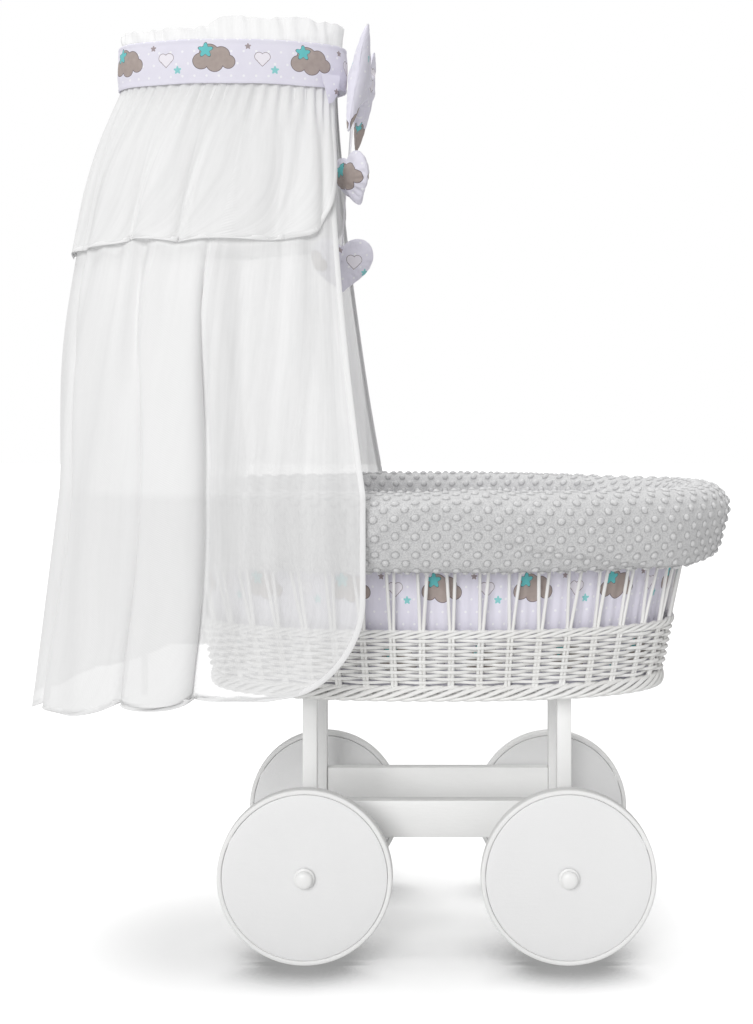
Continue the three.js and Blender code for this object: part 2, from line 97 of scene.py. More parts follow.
def ripples(angle, seed, strongest=6, count=5):
    """A smooth random wave round a loop, about -1 to 1."""
    draw = np.random.default_rng(seed)
    total = sum(draw.uniform(0.4, 1) * np.sin(k * angle + draw.uniform(0, FULL))
                for k in draw.integers(1, strongest + 1, count))
    return total / (0.6 * count)


# ---- camera, and the cords that hold the hearts ------------------------------------------------

def make_camera():
    data = bpy.data.cameras.new("camera")
    data.lens = 53.5
    data.shift_x = -0.068
    data.shift_y = -0.124
    camera = add_object("camera", data)
    camera.location = (0.112, -2.443, 0.857)
    camera.rotation_euler = (math.pi / 2, 0, 0)
    bpy.context.scene.camera = camera


make_camera()

BASKET_X = middle("stakes_and_rim").x
CORD_RADIUS = 1.25 * MM
CORD_STEPS = 20
# body, length, then the route from the bow's knot down into the heart, X from the basket's middle
CORDS = {
    "upper": ("upper_heart", 0.085, [
        (-0.1320, -0.036, 1.2900),
        (-0.1341, -0.036, 1.2621),
        (-0.1370, -0.036, 1.2333),
        (-0.1390, -0.036, 1.2054),
    ]),
    "lower": ("lower_heart", 0.214, [
        (-0.1400, 0.030, 1.2900),
        (-0.1445, 0.030, 1.2197),
        (-0.1508, 0.030, 1.1473),
        (-0.1550, 0.030, 1.0770),
    ]),
}


def smooth_route(points, steps):
    """Points on a smooth line through the given ones, which are about evenly apart."""
    points = np.array(points)
    padded = np.vstack([2 * points[0] - points[1], points, 2 * points[-1] - points[-2]])
    route = []
    for s in np.linspace(0, len(points) - 1 - 1e-9, steps):
        i = int(s)
        t = s - i
        a, b, c, d = padded[i : i + 4]
        route.append(0.5 * (2 * b + (c - a) * t + (2 * a - 5 * b + 4 * c - d) * t**2
                            + (3 * b - a - 3 * c + d) * t**3))
    return np.array(route)


def make_cord(name):
    body, length, points = CORDS[name]
    route = smooth_route([(x + BASKET_X, y, z) for x, y, z in points], CORD_STEPS)
    curve = bpy.data.curves.new(f"satin_cord_{name}", "CURVE")
    curve.dimensions = "3D"
    curve.bevel_depth = 1.0
    curve.bevel_resolution = 3
    spline = curve.splines.new("POLY")
    spline.points.add(len(route) - 1)
    for point, place in zip(spline.points, route):
        point.co = (*place, 1)
        point.radius = CORD_RADIUS
    cord = add_object(f"satin_cord_{name}", curve)
    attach(cord, body)
    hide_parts(f"cord_{name}")
    return cord


cords = [make_cord(name) for name in CORDS]


# ---- materials ---------------------------------------------------------------------------------

def srgb(code):
    """The linear colour of a #rrggbb code."""
    values = [int(code[i : i + 2], 16) / 255 for i in (1, 3, 5)]
    linear = [v / 12.92 if v <= 0.04045 else ((v + 0.055) / 1.055) ** 2.4 for v in values]
    return (*linear, 1)


class Nodes:
    """One material's nodes: each method adds a node and gives its output."""

    def __init__(self, name, roughness, **sockets):
        self.material = bpy.data.materials.new(name)
        self.material.use_nodes = True
        self.tree = self.material.node_tree
        self.shader = self.tree.nodes["Principled BSDF"]
        self.put(roughness, self.shader.inputs["Roughness"])
        for socket, value in sockets.items():
            self.put(value, self.shader.inputs[socket.replace("_", " ")])

    def put(self, value, socket):
        """Links another node's output, or sets a number, a place or a #rrggbb colour."""
        if isinstance(value, bpy.types.NodeSocket):
            self.tree.links.new(value, socket)
        else:
            socket.default_value = srgb(value) if isinstance(value, str) else value

    def node(self, kind, settings=None, **inputs):
        node = self.tree.nodes.new(kind)
        for key, value in (settings or {}).items():
            setattr(node, key, value)
        for name, value in inputs.items():
            self.put(value, node.inputs[name.replace("_", " ")])
        return node

    def math(self, operation, *values):
        node = self.node("ShaderNodeMath", {"operation": operation})
        for value, socket in zip(values, node.inputs):
            self.put(value, socket)
        return node.outputs[0]

    def times(self, first, second):
        return self.math("MULTIPLY", first, second)

    def minus(self, first, second):
        return self.math("SUBTRACT", first, second)

    def flat(self):
        """The two flat coordinates, in metres, that the meshes carry as their UV map."""
        uv = self.node("ShaderNodeUVMap", {"uv_map": "flat"}).outputs[0]
        split = self.node("ShaderNodeSeparateXYZ", Vector=uv)
        return split.outputs[0], split.outputs[1]

    def noise(self, scale, stretch=(1, 1, 1), detail=3, flat=False):
        """Noise over the piece's own space, or over its flat coordinates."""
        if flat:
            place = self.node("ShaderNodeUVMap", {"uv_map": "flat"}).outputs[0]
        else:
            place = self.node("ShaderNodeTexCoord").outputs["Object"]
        mapped = self.node("ShaderNodeMapping", Vector=place, Scale=stretch).outputs[0]
        return self.node("ShaderNodeTexNoise", Vector=mapped, Scale=scale, Detail=detail).outputs[0]

    def between(self, value, low, high, to_low=0.0, to_high=1.0):
        node = self.node("ShaderNodeMapRange", {"interpolation_type": "SMOOTHSTEP"})
        for i, number in enumerate((value, low, high, to_low, to_high)):
            self.put(number, node.inputs[i])
        return node.outputs[0]

    def mix(self, factor, first, second):
        node = self.node("ShaderNodeMix", {"data_type": "RGBA"})
        for i, value in ((0, factor), (6, first), (7, second)):
            self.put(value, node.inputs[i])
        return node.outputs[2]

    def colour(self, factor, first, second):
        self.put(self.mix(factor, first, second), self.shader.inputs["Base Color"])

    def rough(self, scale, low, high):
        """Roughness that wanders between low and high."""
        self.put(self.between(self.noise(scale), 0.3, 0.7, low, high), self.shader.inputs["Roughness"])

    def bump(self, *layers):
        """Each layer is (height, distance in metres)."""
        normal = None
        for height, distance in layers:
            node = self.node("ShaderNodeBump", Height=height, Distance=distance, Strength=1.0)
            if normal:
                self.put(normal, node.inputs["Normal"])
            normal = node.outputs[0]
        self.put(normal, self.shader.inputs["Normal"])


def painted_wood():
    n = Nodes("painted_wood", 0.42, Coat_Weight=0.15, Coat_Roughness=0.3)
    n.colour(n.noise(9, detail=4), "#f5f5f4", "#fafaf9")
    grain = n.noise(60, stretch=(1, 4, 4))
    brush = n.noise(420, stretch=(0.15, 1, 1), detail=2)
    n.rough(35, 0.36, 0.5)
    n.bump((grain, 0.25 * MM), (brush, 0.12 * MM))
    return n.material


def wheel_paint():
    """Sprayed paint on a flat board: a fine orange-peel surface and a faint sanding pattern."""
    n = Nodes("wheel_paint", 0.46, Coat_Weight=0.1, Coat_Roughness=0.35)
    n.colour(n.noise(7, detail=5), "#efefef", "#f4f4f4")
    n.rough(25, 0.42, 0.54)
    n.bump((n.noise(260, detail=2), 0.15 * MM), (n.noise(40, stretch=(1, 1, 6)), 0.2 * MM))
    return n.material


def tyre_rubber():
    n = Nodes("tyre_rubber", 0.62)
    n.colour(n.noise(30), "#f2f2f1", "#f8f8f7")
    n.bump((n.noise(500, detail=2), 0.12 * MM))
    return n.material


def moulded_plastic():
    n = Nodes("moulded_plastic", 0.34)
    n.colour(n.noise(60), "#f4f4f3", "#fafaf9")
    n.bump((n.noise(900, detail=1), 0.06 * MM))
    return n.material


def zinc_steel():
    n = Nodes("zinc_steel", 0.32, Metallic=1.0)
    n.colour(n.noise(80, detail=5), "#aeb1b4", "#cfd1d3")
    n.rough(120, 0.24, 0.42)
    n.bump((n.noise(600, stretch=(1, 1, 0.1), detail=1), 0.05 * MM))
    return n.material


def rod_enamel():
    n = Nodes("rod_enamel", 0.3, Coat_Weight=0.3, Coat_Roughness=0.2)
    n.colour(n.noise(20), "#efefee", "#f6f6f5")
    n.bump((n.noise(350, detail=1), 0.05 * MM))
    return n.material


def white_wicker():
    """Painted willow: lengthwise fibres, small pores and slightly uneven paint from rod to rod."""
    n = Nodes("white_wicker", 0.5)
    tone = n.mix(n.noise(14, detail=2), "#f2f1ee", "#fbfbfa")
    streak = n.noise(160, stretch=(1, 14, 1), detail=3, flat=True)
    worn = n.between(streak, 0.62, 0.78, 0.0, 0.3)
    n.colour(worn, tone, "#d5d1c8")
    n.bump((streak, 0.35 * MM), (n.noise(700, stretch=(0.3, 1, 1), detail=1, flat=True), 0.1 * MM))
    return n.material


def grey_minky():
    """Short plush pile, with painted shade: a darker ring round the foot of each raised dot, which the
    mesh marks as dot.
    """
    n = Nodes("grey_minky", 0.92, Sheen_Weight=0.35, Sheen_Roughness=0.45)
    pile = n.noise(520, detail=4)
    mark = n.node("ShaderNodeAttribute", {"attribute_name": "dot"}).outputs["Fac"]
    ground = n.mix(n.between(pile, 0.32, 0.68), "#bdbdbe", "#d9d9d9")
    crown = n.mix(n.between(pile, 0.32, 0.68), "#c9c9ca", "#e0e0e0")
    # painted shade: the ring round each dot's foot is mixed towards dark grey #8f8f90
    foot = n.times(n.between(mark, 0.0, 0.22), n.between(mark, 0.35, 0.7, 0.6, 0.0))
    n.colour(foot, n.mix(mark, ground, crown), "#8f8f90")
    n.bump((n.noise(130, detail=3), 0.3 * MM), (pile, 0.55 * MM))
    return n.material


def weave_height(n, pitch):
    """Over-and-under threads at the given pitch, on the flat coordinates."""
    u, v = n.flat()
    across = n.math("SINE", n.times(u, FULL / pitch))
    along = n.math("SINE", n.times(v, FULL / pitch))
    return n.times(across, along)


def white_cotton():
    n = Nodes("white_cotton", 0.88, Sheen_Weight=0.15)
    n.colour(n.noise(90, detail=4), "#f0efed", "#f8f7f5")
    n.bump((weave_height(n, 1.1 * MM), 0.08 * MM), (n.noise(45, detail=4), 0.5 * MM))
    return n.material


def satin():
    n = Nodes("satin_thread", 0.4, Sheen_Weight=0.3)
    n.colour(n.noise(200), "#efedf2", "#faf9fb")
    n.bump((n.noise(900, stretch=(1, 1, 0.25), detail=1), 0.2 * MM))
    return n.material


DOT_PITCH = 19 * MM
CELL = {"wide": 150 * MM, "high": 108 * MM}
CLOUD = [(-19, -3, 12), (-6, 8, 15), (12, 6, 13), (23, -4, 10), (2, -6, 13)]  # x, y and radius in mm


def lilac_print():
    """Lilac cotton printed with white dots and, in staggered rows, clouds, stars and hearts."""
    n = Nodes("lilac_print", 0.86, Sheen_Weight=0.12)
    u, v = n.flat()

    def cell(wide, high):
        """Coordinates from the middle of a staggered cell."""
        row = n.math("FLOOR", n.math("DIVIDE", v, high))
        shifted = n.math("MULTIPLY_ADD", row, 0.5, n.math("DIVIDE", u, wide))
        x = n.times(n.minus(n.math("FRACT", shifted), 0.5), wide)
        y = n.minus(n.math("FRACT", n.math("DIVIDE", v, high)), 0.5)
        return x, n.times(y, high)

    def away(x, y, at_x, at_y):
        """How far a place is from a point, and the two differences."""
        dx = n.minus(x, at_x)
        dy = n.minus(y, at_y)
        squares = n.math("MULTIPLY_ADD", dx, dx, n.times(dy, dy))
        return n.math("SQRT", squares), dx, dy

    def inside(distance, size):
        """1 within size of the shape's middle, with a soft edge a third of a millimetre wide."""
        return n.between(distance, size - 0.15 * MM, size + 0.15 * MM, 1.0, 0.0)

    def cloud(grow):
        mask = 0.0
        for cx, cy, radius in CLOUD:
            distance, _, _ = away(x, y, -0.25 * CELL["wide"] + cx * MM, cy * MM)
            mask = n.math("MAXIMUM", mask, inside(distance, radius * MM + grow))
        return mask

    def star(at_x, at_y, size):
        distance, dx, dy = away(x, y, at_x, at_y)
        points = n.math("COSINE", n.times(n.math("ARCTAN2", dx, dy), 5.0))
        return inside(n.math("DIVIDE", distance, n.math("MULTIPLY_ADD", points, 0.22, 0.78)), size)

    def heart(grow):
        mask = 0.0
        for side in (-1, 1):
            distance, _, _ = away(x, y, 0.25 * CELL["wide"] + side * 5.2 * MM, 4 * MM)
            mask = n.math("MAXIMUM", mask, inside(distance, 6.4 * MM + grow))
        _, dx, dy = away(x, y, 0.25 * CELL["wide"], -2.5 * MM)
        corner = n.math("ADD", n.math("ABSOLUTE", dx), n.math("ABSOLUTE", dy))
        return n.math("MAXIMUM", mask, inside(corner, 7.75 * MM + 1.4 * grow))

    dot_x, dot_y = cell(DOT_PITCH, DOT_PITCH)
    dot, _, _ = away(dot_x, dot_y, 0.0, 0.0)
    x, y = cell(CELL["wide"], CELL["high"])
    ground = n.mix(n.noise(30, detail=3), "#e6e3f1", "#eeecf6")
    shade = n.mix(n.noise(140, detail=2), "#a3958f", "#b9aca6")
    line = "#5d5257"
    prints = [
        (inside(dot, 1.9 * MM), "#f8f7fc"),
        (cloud(0.9 * MM), line),
        (cloud(0.0), shade),
        (star(-0.25 * CELL["wide"] - 12 * MM, 14 * MM, 12.5 * MM), line),
        (star(-0.25 * CELL["wide"] - 12 * MM, 14 * MM, 11.5 * MM), "#6cc9cb"),
        (heart(0.8 * MM), "#8b7d80"),
        (heart(0.0), "#f3eff6"),
        (star(0.25 * CELL["wide"] + 19 * MM, -16 * MM, 6.5 * MM), "#8fd3d4"),
        (star(0.25 * CELL["wide"] - 22 * MM, 20 * MM, 5 * MM), "#a79a9c"),
    ]
    for mask, colour in prints[:-1]:
        ground = n.mix(mask, ground, colour)
    last_mask, last_colour = prints[-1]
    n.colour(last_mask, ground, last_colour)
    n.bump((weave_height(n, 0.9 * MM), 0.05 * MM), (n.noise(60, detail=4), 0.45 * MM))
    return n.material


def soft_tulle():
    """Fine white voile. The mesh's layers attribute says how many thicknesses lie on one another. Where
    more lie together the colour is darker, and thin streaks along the creases are darker too: both are
    painted shade.
    """
    n = Nodes("soft_tulle", 0.8, Sheen_Weight=0.25, Sheen_Roughness=0.5)
    layers = n.node("ShaderNodeAttribute", {"attribute_name": "layers"}).outputs["Fac"]
    airy = n.mix(n.noise(14, detail=4), "#fbfbfb", "#fefefe")
    # painted shade: the colour darkens towards #ededed where the layers pile up
    thick = n.mix(n.between(layers, 1.5, 3.8), airy, "#ededed")
    # painted shade: thin darker streaks, up to #eaeaea, where creases would lie in shade
    creases = n.noise(46, stretch=(1, 0.03, 1), detail=3, flat=True)
    n.colour(n.between(creases, 0.42, 0.68, 0.0, 0.4), thick, "#eaeaea")
    slubs = n.noise(120, stretch=(1, 0.12, 1), detail=1, flat=True)
    clear = n.minus(0.45, n.between(slubs, 0.35, 0.65, -0.012, 0.012))
    opaque = n.minus(1.0, n.math("POWER", clear, layers))
    n.put(opaque, n.shader.inputs["Alpha"])
    n.bump((weave_height(n, 3.2 * MM), 0.04 * MM), (slubs, 0.06 * MM))
    return n.material


def stitched_hem():
    """The voile folded double along an edge, so it is nearly opaque, with a row of small stitches."""
    n = Nodes("stitched_hem", 0.75, Sheen_Weight=0.3, Alpha=0.86)
    along, across = n.flat()
    stitch = n.math("PINGPONG", along, 1.3 * MM)
    off_row = n.math("ABSOLUTE", n.minus(across, 4 * MM))
    row = n.between(off_row, 0.3 * MM, 0.7 * MM, 1.0, 0.0)
    seam = n.times(n.between(stitch, 0.2 * MM, 0.6 * MM), row)
    n.colour(seam, "#f9f9f9", "#e9e9e9")
    n.bump((seam, 0.3 * MM), (n.noise(220, detail=2), 0.25 * MM))
    return n.material


MATERIALS = {
    "painted_wood": painted_wood(),
    "painted_wheel": wheel_paint(),
    "tyre_white": tyre_rubber(),
    "cap_plastic": moulded_plastic(),
    "steel": zinc_steel(),
    "rod_paint": rod_enamel(),
    "wicker": white_wicker(),
    "minky": grey_minky(),
    "printed_cotton": lilac_print(),
    "white_cotton": white_cotton(),
    "tulle": soft_tulle(),
    "tulle_hem": stitched_hem(),
    "satin_cord": satin(),
}
for cord in cords:
    cord.data.materials.append(MATERIALS["satin_cord"])


# ---- meshes ------------------------------------------------------------------------------------

class Shape:
    """Grids of points gathered into one mesh; flat holds a place in metres for each face corner."""

    def __init__(self):
        self.points = []
        self.faces = []
        self.flat = []
        self.marks = []
        self.count = 0

    def grid(self, points, u, v, wrap=(False, False), mark=None):
        """points[row, column]; u and v are flat places, one more along each direction that wraps."""
        points = np.asarray(points)
        rows, columns = points.shape[:2]
        last = [size if wrapped else size - 1 for size, wrapped in zip((rows, columns), wrap)]
        i, j = (part.ravel() for part in np.meshgrid(*map(np.arange, last), indexing="ij"))
        u, v = np.broadcast_arrays(u, v)
        for di, dj in ((0, 0), (1, 0), (1, 1), (0, 1)):
            self.faces.append(((i + di) % rows) * columns + (j + dj) % columns + self.count)
            self.flat.append(np.stack([u[i + di, j + dj], v[i + di, j + dj]], axis=-1))
        self.points.append(points.reshape(-1, 3))
        self.marks.append(np.ones(rows * columns) if mark is None else np.ravel(mark))
        self.count += rows * columns
        return self

    def tube(self, path, radius, sides=8, closed=False, reference=(0, 0, 1)):
        """A round rod along a path, whose ends close in small tips unless the path is closed."""
        path = np.asarray(path)
        if closed:
            along = np.roll(path, -1, axis=0) - np.roll(path, 1, axis=0)
        else:
            along = np.gradient(path, axis=0)
        along /= np.linalg.norm(along, axis=1, keepdims=True)
        side = np.cross(along, reference)
        side /= np.linalg.norm(side, axis=1, keepdims=True)
        up = np.cross(side, along)
        angle = FULL * shares(sides)[None, :, None]
        radius = np.broadcast_to(radius, len(path)).reshape(-1, 1, 1)
        rim = np.cos(angle) * side[:, None] + np.sin(angle) * up[:, None]
        rings = path[:, None] + radius * rim
        if not closed:
            rings = np.concatenate([path[:1, None] + 0.02 * radius[:1] * rim[:1], rings,
                                    path[-1:, None] + 0.02 * radius[-1:] * rim[-1:]])
            path = np.concatenate([path[:1], path, path[-1:]])
        gone = travelled(np.vstack([path, path[:1]]) if closed else path)
        round_it = np.linspace(0, FULL * float(radius.max()), sides + 1)
        return self.grid(rings, gone[:, None], round_it[None, :], wrap=(closed, True))

    def turned(self, profile, centre, segments):
        """A body of revolution about Y from a closed profile of (radius, y)."""
        profile = np.array(profile)
        angle = FULL * shares(segments)
        radius, y = profile[:, :1], profile[:, 1:]
        points = spots(radius * np.cos(angle), y, radius * np.sin(angle))
        gone = travelled(np.vstack([profile, profile[:1]]))
        turn = np.linspace(0, FULL * profile[:, 0].max(), segments + 1)
        return self.grid(points + np.array(centre), gone[:, None], turn[None, :], wrap=(True, True))

    def block(self, low, high, bevel, steps=3):
        """A box with rounded edges and corners."""
        low, high = np.array(low), np.array(high)
        turns = np.concatenate([np.linspace(start, start + math.pi / 2, steps + 1)
                                for start in np.arange(4) * math.pi / 2])
        corner = np.repeat([(1, 1), (0, 1), (0, 0), (1, 0)], steps + 1, axis=0)
        rows = []
        tilts = np.linspace(-math.pi / 2, math.pi / 2, 2 * steps + 2)
        for tilt, end in zip(tilts, [0] * (steps + 1) + [1] * (steps + 1)):
            inner = np.where(corner, high[:2] - bevel, low[:2] + bevel)
            ring = inner + bevel * math.cos(tilt) * np.stack([np.cos(turns), np.sin(turns)], axis=-1)
            z = (high[2] - bevel if end else low[2] + bevel) + bevel * math.sin(tilt)
            rows.append(np.column_stack([ring, np.full(len(ring), z)]))
        rows = np.array(rows)
        centre = rows[[0, -1]].mean(axis=1, keepdims=True)
        caps = [centre[i] + 0.001 * (rows[j] - centre[i]) for i, j in ((0, 0), (1, -1))]
        rows = np.concatenate([[caps[0]], rows, [caps[1]]])
        around = np.linspace(0, 2 * float((high - low)[:2].sum()), rows.shape[1] + 1)
        return self.grid(rows, rows[:, :1, 2], around[None, :], wrap=(False, True))

    def build(self, name, slot, body, replaces=(), smooth=45, attribute=None, finish=None):
        """Makes the piece: smooth is the sharpest shaded angle, and attribute names the marks."""
        points = np.concatenate(self.points)
        corners = [np.concatenate(self.faces[k::4]) for k in range(4)]
        faces = np.stack(corners, axis=-1)
        flat = np.stack([np.concatenate(self.flat[k::4]) for k in range(4)], axis=1)
        mesh = bpy.data.meshes.new(name)
        mesh.from_pydata(points, [], faces)
        mesh.uv_layers.new(name="flat").uv.foreach_set("vector", flat.astype(np.float32).ravel())
        if attribute:
            marks = np.concatenate(self.marks).astype(np.float32)
            mesh.attributes.new(attribute, "FLOAT", "POINT").data.foreach_set("value", marks)
        mesh.polygons.foreach_set("use_smooth", np.ones(len(faces), bool))
        mesh.set_sharp_from_angle(angle=math.radians(smooth))
        mesh.materials.append(MATERIALS[finish or slot])
        piece = add_object(name, mesh)
        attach(piece, body)
        if replaces:
            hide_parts(*replaces)
        return piece


def place_of(piece):
    places = np.empty(3 * len(piece.data.vertices))
    piece.data.vertices.foreach_get("co", places)
    return places.reshape(-1, 3)


SWELL_FRAMES = 20


def puff(piece, pressure, cap, slack, held):
    """Lets a closed cloth swell from its held points, and keeps the result, moved by cap at most."""
    before = place_of(piece)
    modifier = piece.modifiers.new("cloth", "CLOTH")
    settings = modifier.settings
    settings.quality = 6
    settings.mass = 0.25
    settings.tension_stiffness = 12
    settings.compression_stiffness = 12
    settings.bending_stiffness = 0.4
    settings.air_damping = 4
    settings.use_pressure = True
    settings.uniform_pressure_force = pressure
    settings.shrink_min = -slack
    settings.effector_weights.gravity = 0
    modifier.collision_settings.use_collision = False
    group = piece.vertex_groups.new(name="held")
    group.add([int(i) for i in np.flatnonzero(held)], 1.0, "REPLACE")
    settings.vertex_group_mass = "held"
    modifier.point_cache.frame_start = 1
    modifier.point_cache.frame_end = SWELL_FRAMES
    for number in range(1, SWELL_FRAMES + 1):
        bpy.context.scene.frame_set(number)
    settled = piece.evaluated_get(bpy.context.evaluated_depsgraph_get())
    after = np.empty(before.size)
    settled.data.vertices.foreach_get("co", after)
    piece.modifiers.remove(modifier)
    bpy.context.scene.frame_set(1)
    move = after.reshape(-1, 3) - before
    far = np.linalg.norm(move, axis=1, keepdims=True)
    move *= np.minimum(1, cap / np.maximum(far, 1e-9))
    piece.data.vertices.foreach_set("co", (before + move).ravel())
    piece.data.update()


def finer(piece):
    """One level of smooth subdivision, applied."""
    modifier = piece.modifiers.new("finer", "SUBSURF")
    modifier.levels = 1
    bpy.context.view_layer.objects.active = piece
    with bpy.context.temp_override(object=piece, active_object=piece):
        bpy.ops.object.modifier_apply(modifier="finer")


# ---- wheels and stand --------------------------------------------------------------------------

ENDS = ("head", "foot")
SIDES = {"near": -1, "far": 1}
AXLE_BORE = 5.4 * MM


def wheel(end, side):
    name = f"{end}_{side}"
    body = f"rolling_wheel_{name}"
    centre = middle(f"wheel_{name}")
    radius = half(f"wheel_{name}").z
    edge = half(f"wheel_{name}").y
    soft = 1.6 * MM
    corner = [(radius - soft * (1 - math.sin(t)), edge - soft * (1 - math.cos(t)))
              for t in np.linspace(0, math.pi / 2, 5)]
    inner = [(AXLE_BORE, edge - 0.5 * MM), (AXLE_BORE + 0.5 * MM, edge), (0.4 * radius, edge),
             (0.8 * radius, edge)]
    face = inner + corner
    profile = face + [(r, -y) for r, y in reversed(face)]
    Shape().turned(profile, centre, 128).build(
        f"wheel_disc_{name}", "painted_wheel", body, [f"wheel_{name}"])

    tread = half(f"tyre_{name}").z
    seam = radius + 0.5 * MM
    tyre = [(seam, edge - 1.8 * MM), (seam + 0.6 * MM, edge - 0.6 * MM),
            (seam + 1.4 * MM, edge - 0.1 * MM), (tread - 2.4 * MM, edge),
            (tread - 1.0 * MM, edge - 0.6 * MM), (tread - 0.2 * MM, edge - 2.0 * MM),
            (tread, edge - 4 * MM)]
    profile = tyre + [(r, -y) for r, y in reversed(tyre)]
    Shape().turned(profile, centre, 128).build(
        f"wheel_tyre_{name}", "tyre_white", body, [f"tyre_{name}"])


def hub(end, side):
    """The sleeve, washer and press-on cap that keep a wheel on its axle."""
    name = f"{end}_{side}"
    sign = SIDES[side]

    def reach(node):
        """How far the node's two ends are from the stand's middle plane."""
        return sorted(abs(corner.y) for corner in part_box(node))

    def turned(node, piece, slot, profile):
        centre = middle(node)
        flip = [(r, sign * y) for r, y in profile]
        Shape().turned(flip, (centre.x, 0, centre.z), 64).build(piece, slot, STAND, [node])

    for kind in ("axle_sleeve", "washer"):
        low, high = reach(f"{kind}_{name}")
        outer = half(f"{kind}_{name}").z
        edge = 0.3 * MM
        turned(f"{kind}_{name}", f"turned_{kind}_{name}", "steel", [
            (AXLE_BORE, low), (outer - edge, low), (outer, low + edge), (outer, high - edge),
            (outer - edge, high), (AXLE_BORE, high)])

    low, high = reach(f"axle_cap_{name}")
    flange = 1.15 * half(f"axle_cap_{name}").z
    neck = low + 3.4 * MM
    socket = high - 6.5 * MM
    dome = [(0.80 * flange * math.cos(t), neck + (high - neck) * (0.55 + 0.45 * math.sin(t)))
            for t in np.linspace(0, 1.25, 7)]
    turned(f"axle_cap_{name}", f"hub_cap_{name}", "cap_plastic", [
        (AXLE_BORE, low), (flange - 0.6 * MM, low), (flange, low + 0.6 * MM), (flange, low + 1.9 * MM),
        (flange - 0.6 * MM, low + 2.5 * MM), (0.86 * flange, low + 2.7 * MM), (0.81 * flange, neck),
        *dome, (0.1 * MM, high), (0.1 * MM, socket), (AXLE_BORE, socket)])


def beam(node):
    low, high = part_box(node)
    Shape().block(low, high, 1.4 * MM).build(f"painted_{node}", "painted_wood", STAND, [node], smooth=30)


for end in ENDS:
    beam(f"bearer_{end}")
    for side in SIDES:
        beam(f"post_{end}_{side}")
        wheel(end, side)
        hub(end, side)
for side in SIDES:
    beam(f"side_rail_{side}")


# ---- basket ------------------------------------------------------------------------------------

RIM_A = half("stakes_and_rim").x - 2 * MM
RIM_B = half("stakes_and_rim").y - 2 * MM
RIM_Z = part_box("stakes_and_rim")[1].z + 1 * MM
LEAN = 0.2
OVAL_POWER = 2.4
BORDER_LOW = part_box("base_border")[0].z
WEAVE_LOW, WEAVE_HIGH = (corner.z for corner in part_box("woven_wall"))
STAKE_PAIRS = 44
STAKE_RADIUS = 2.9 * MM
SPREAD_Z = 0.497  # where the stakes leave the weave and begin to spread


def wall_out(z):
    """How far the leaning basket wall is outside the rim's oval at a height: negative below the rim."""
    return (z - RIM_Z) * LEAN


def oval(angle, out, z, a=RIM_A, b=RIM_B, x=BASKET_X, power=OVAL_POWER):
    """Places on a rounded oval: power 2 is an ellipse, and more is squarer."""
    c, s = np.cos(angle), np.sin(angle)
    return spots(x + (a + out) * bent(c, 2 / power), (b + out) * bent(s, 2 / power), z)


def even_turns(power=OVAL_POWER, a=RIM_A, b=RIM_B):
    """Gives the angle at each share of the way round an oval, and the distance round."""
    angle = np.linspace(0, FULL, 6001)
    gone = travelled(oval(angle, 0, 0, a, b, 0, power))
    share = gone / gone[-1]
    return lambda s: np.interp(np.mod(s, 1), share, angle), gone[-1]


angle_at, RIM_ROUND = even_turns()


def woven_wall():
    """Rods go in front of one pair of stakes and behind the next, under a twisted waling band."""
    shape = Shape()
    draw = np.random.default_rng(3)
    low, high = WEAVE_LOW + 0.5 * MM, WEAVE_HIGH - 15 * MM
    rows = 13
    share = shares(8 * STAKE_PAIRS)
    for row in range(rows):
        z = low + (row + 0.5) * (high - low) / rows
        wave = np.sin(math.pi * (STAKE_PAIRS * share + row))
        bend = 4.8 * MM * bent(wave, 0.8)
        drift = 0.35 * MM * ripples(FULL * share, 100 + row, 30, 8)
        path = oval(angle_at(share), wall_out(z) + bend, z + drift)
        shape.tube(path, draw.uniform(2.3, 2.6) * MM, 6, closed=True)
    share = shares(10 * STAKE_PAIRS)
    strands = 4
    for strand in range(strands):
        turn = FULL * (22 * share + strand / strands)
        z = WEAVE_HIGH - 8 * MM + 4.6 * MM * np.sin(turn)
        path = oval(angle_at(share), wall_out(z) + 1.2 * MM + 3.1 * MM * np.cos(turn), z)
        shape.tube(path, 2.5 * MM, 7, closed=True)
    shape.build("woven_willow_wall", "wicker", STAND, ["woven_wall"])


def base_border():
    """Six rods laid in a long twist round the foot of the wall."""
    shape = Shape()
    share = shares(480)
    strands = 6
    for strand in range(strands):
        turn = FULL * (13 * share + strand / strands)
        z = BORDER_LOW + 12.5 * MM + 9.2 * MM * np.sin(turn)
        path = oval(angle_at(share), wall_out(BORDER_LOW) + 4.5 * MM + 3.6 * MM * np.cos(turn), z)
        shape.tube(path, 3.3 * MM, 8, closed=True)
    shape.build("braided_border", "wicker", STAND, ["base_border"])


def stakes():
    """Pairs of stakes stand together in the weave and spread above it, up to a hoop at the rim."""
    shape = Shape()
    draw = np.random.default_rng(11)
    hoop_z = RIM_Z - 5 * MM
    beside = (STAKE_RADIUS + 0.1 * MM) / RIM_ROUND
    bends = (0.45, 0.475, 0.49, 0.50, 0.515, 0.54, 0.58, 0.62, 0.66)
    heights = np.array([BORDER_LOW + 14 * MM, *bends, hoop_z])
    for pair in range(STAKE_PAIRS):
        for side in (-1, 1):
            foot = (pair + 0.5) / STAKE_PAIRS + side * beside
            head = (pair + 0.5 + side / 4 + draw.uniform(-0.2, 0.2)) / STAKE_PAIRS
            climb = np.clip((heights - SPREAD_Z) / (hoop_z - SPREAD_Z), 0, 1)
            bow = 0.0012 * draw.uniform(-1, 1) * np.sin(math.pi * climb)
            share = foot + (head - foot) * climb + bow
            path = oval(angle_at(share), wall_out(heights), heights)
            radius = STAKE_RADIUS * draw.uniform(0.88, 1.0) * (1 - 0.12 * climb)
            shape.tube(path, radius, 8, reference=(0.3, 1, 0.1))
    share = shares(240)
    shape.tube(oval(angle_at(share), wall_out(hoop_z), hoop_z), 4 * MM, 10, closed=True)
    shape.build("willow_stakes", "wicker", STAND, ["stakes_and_rim"])


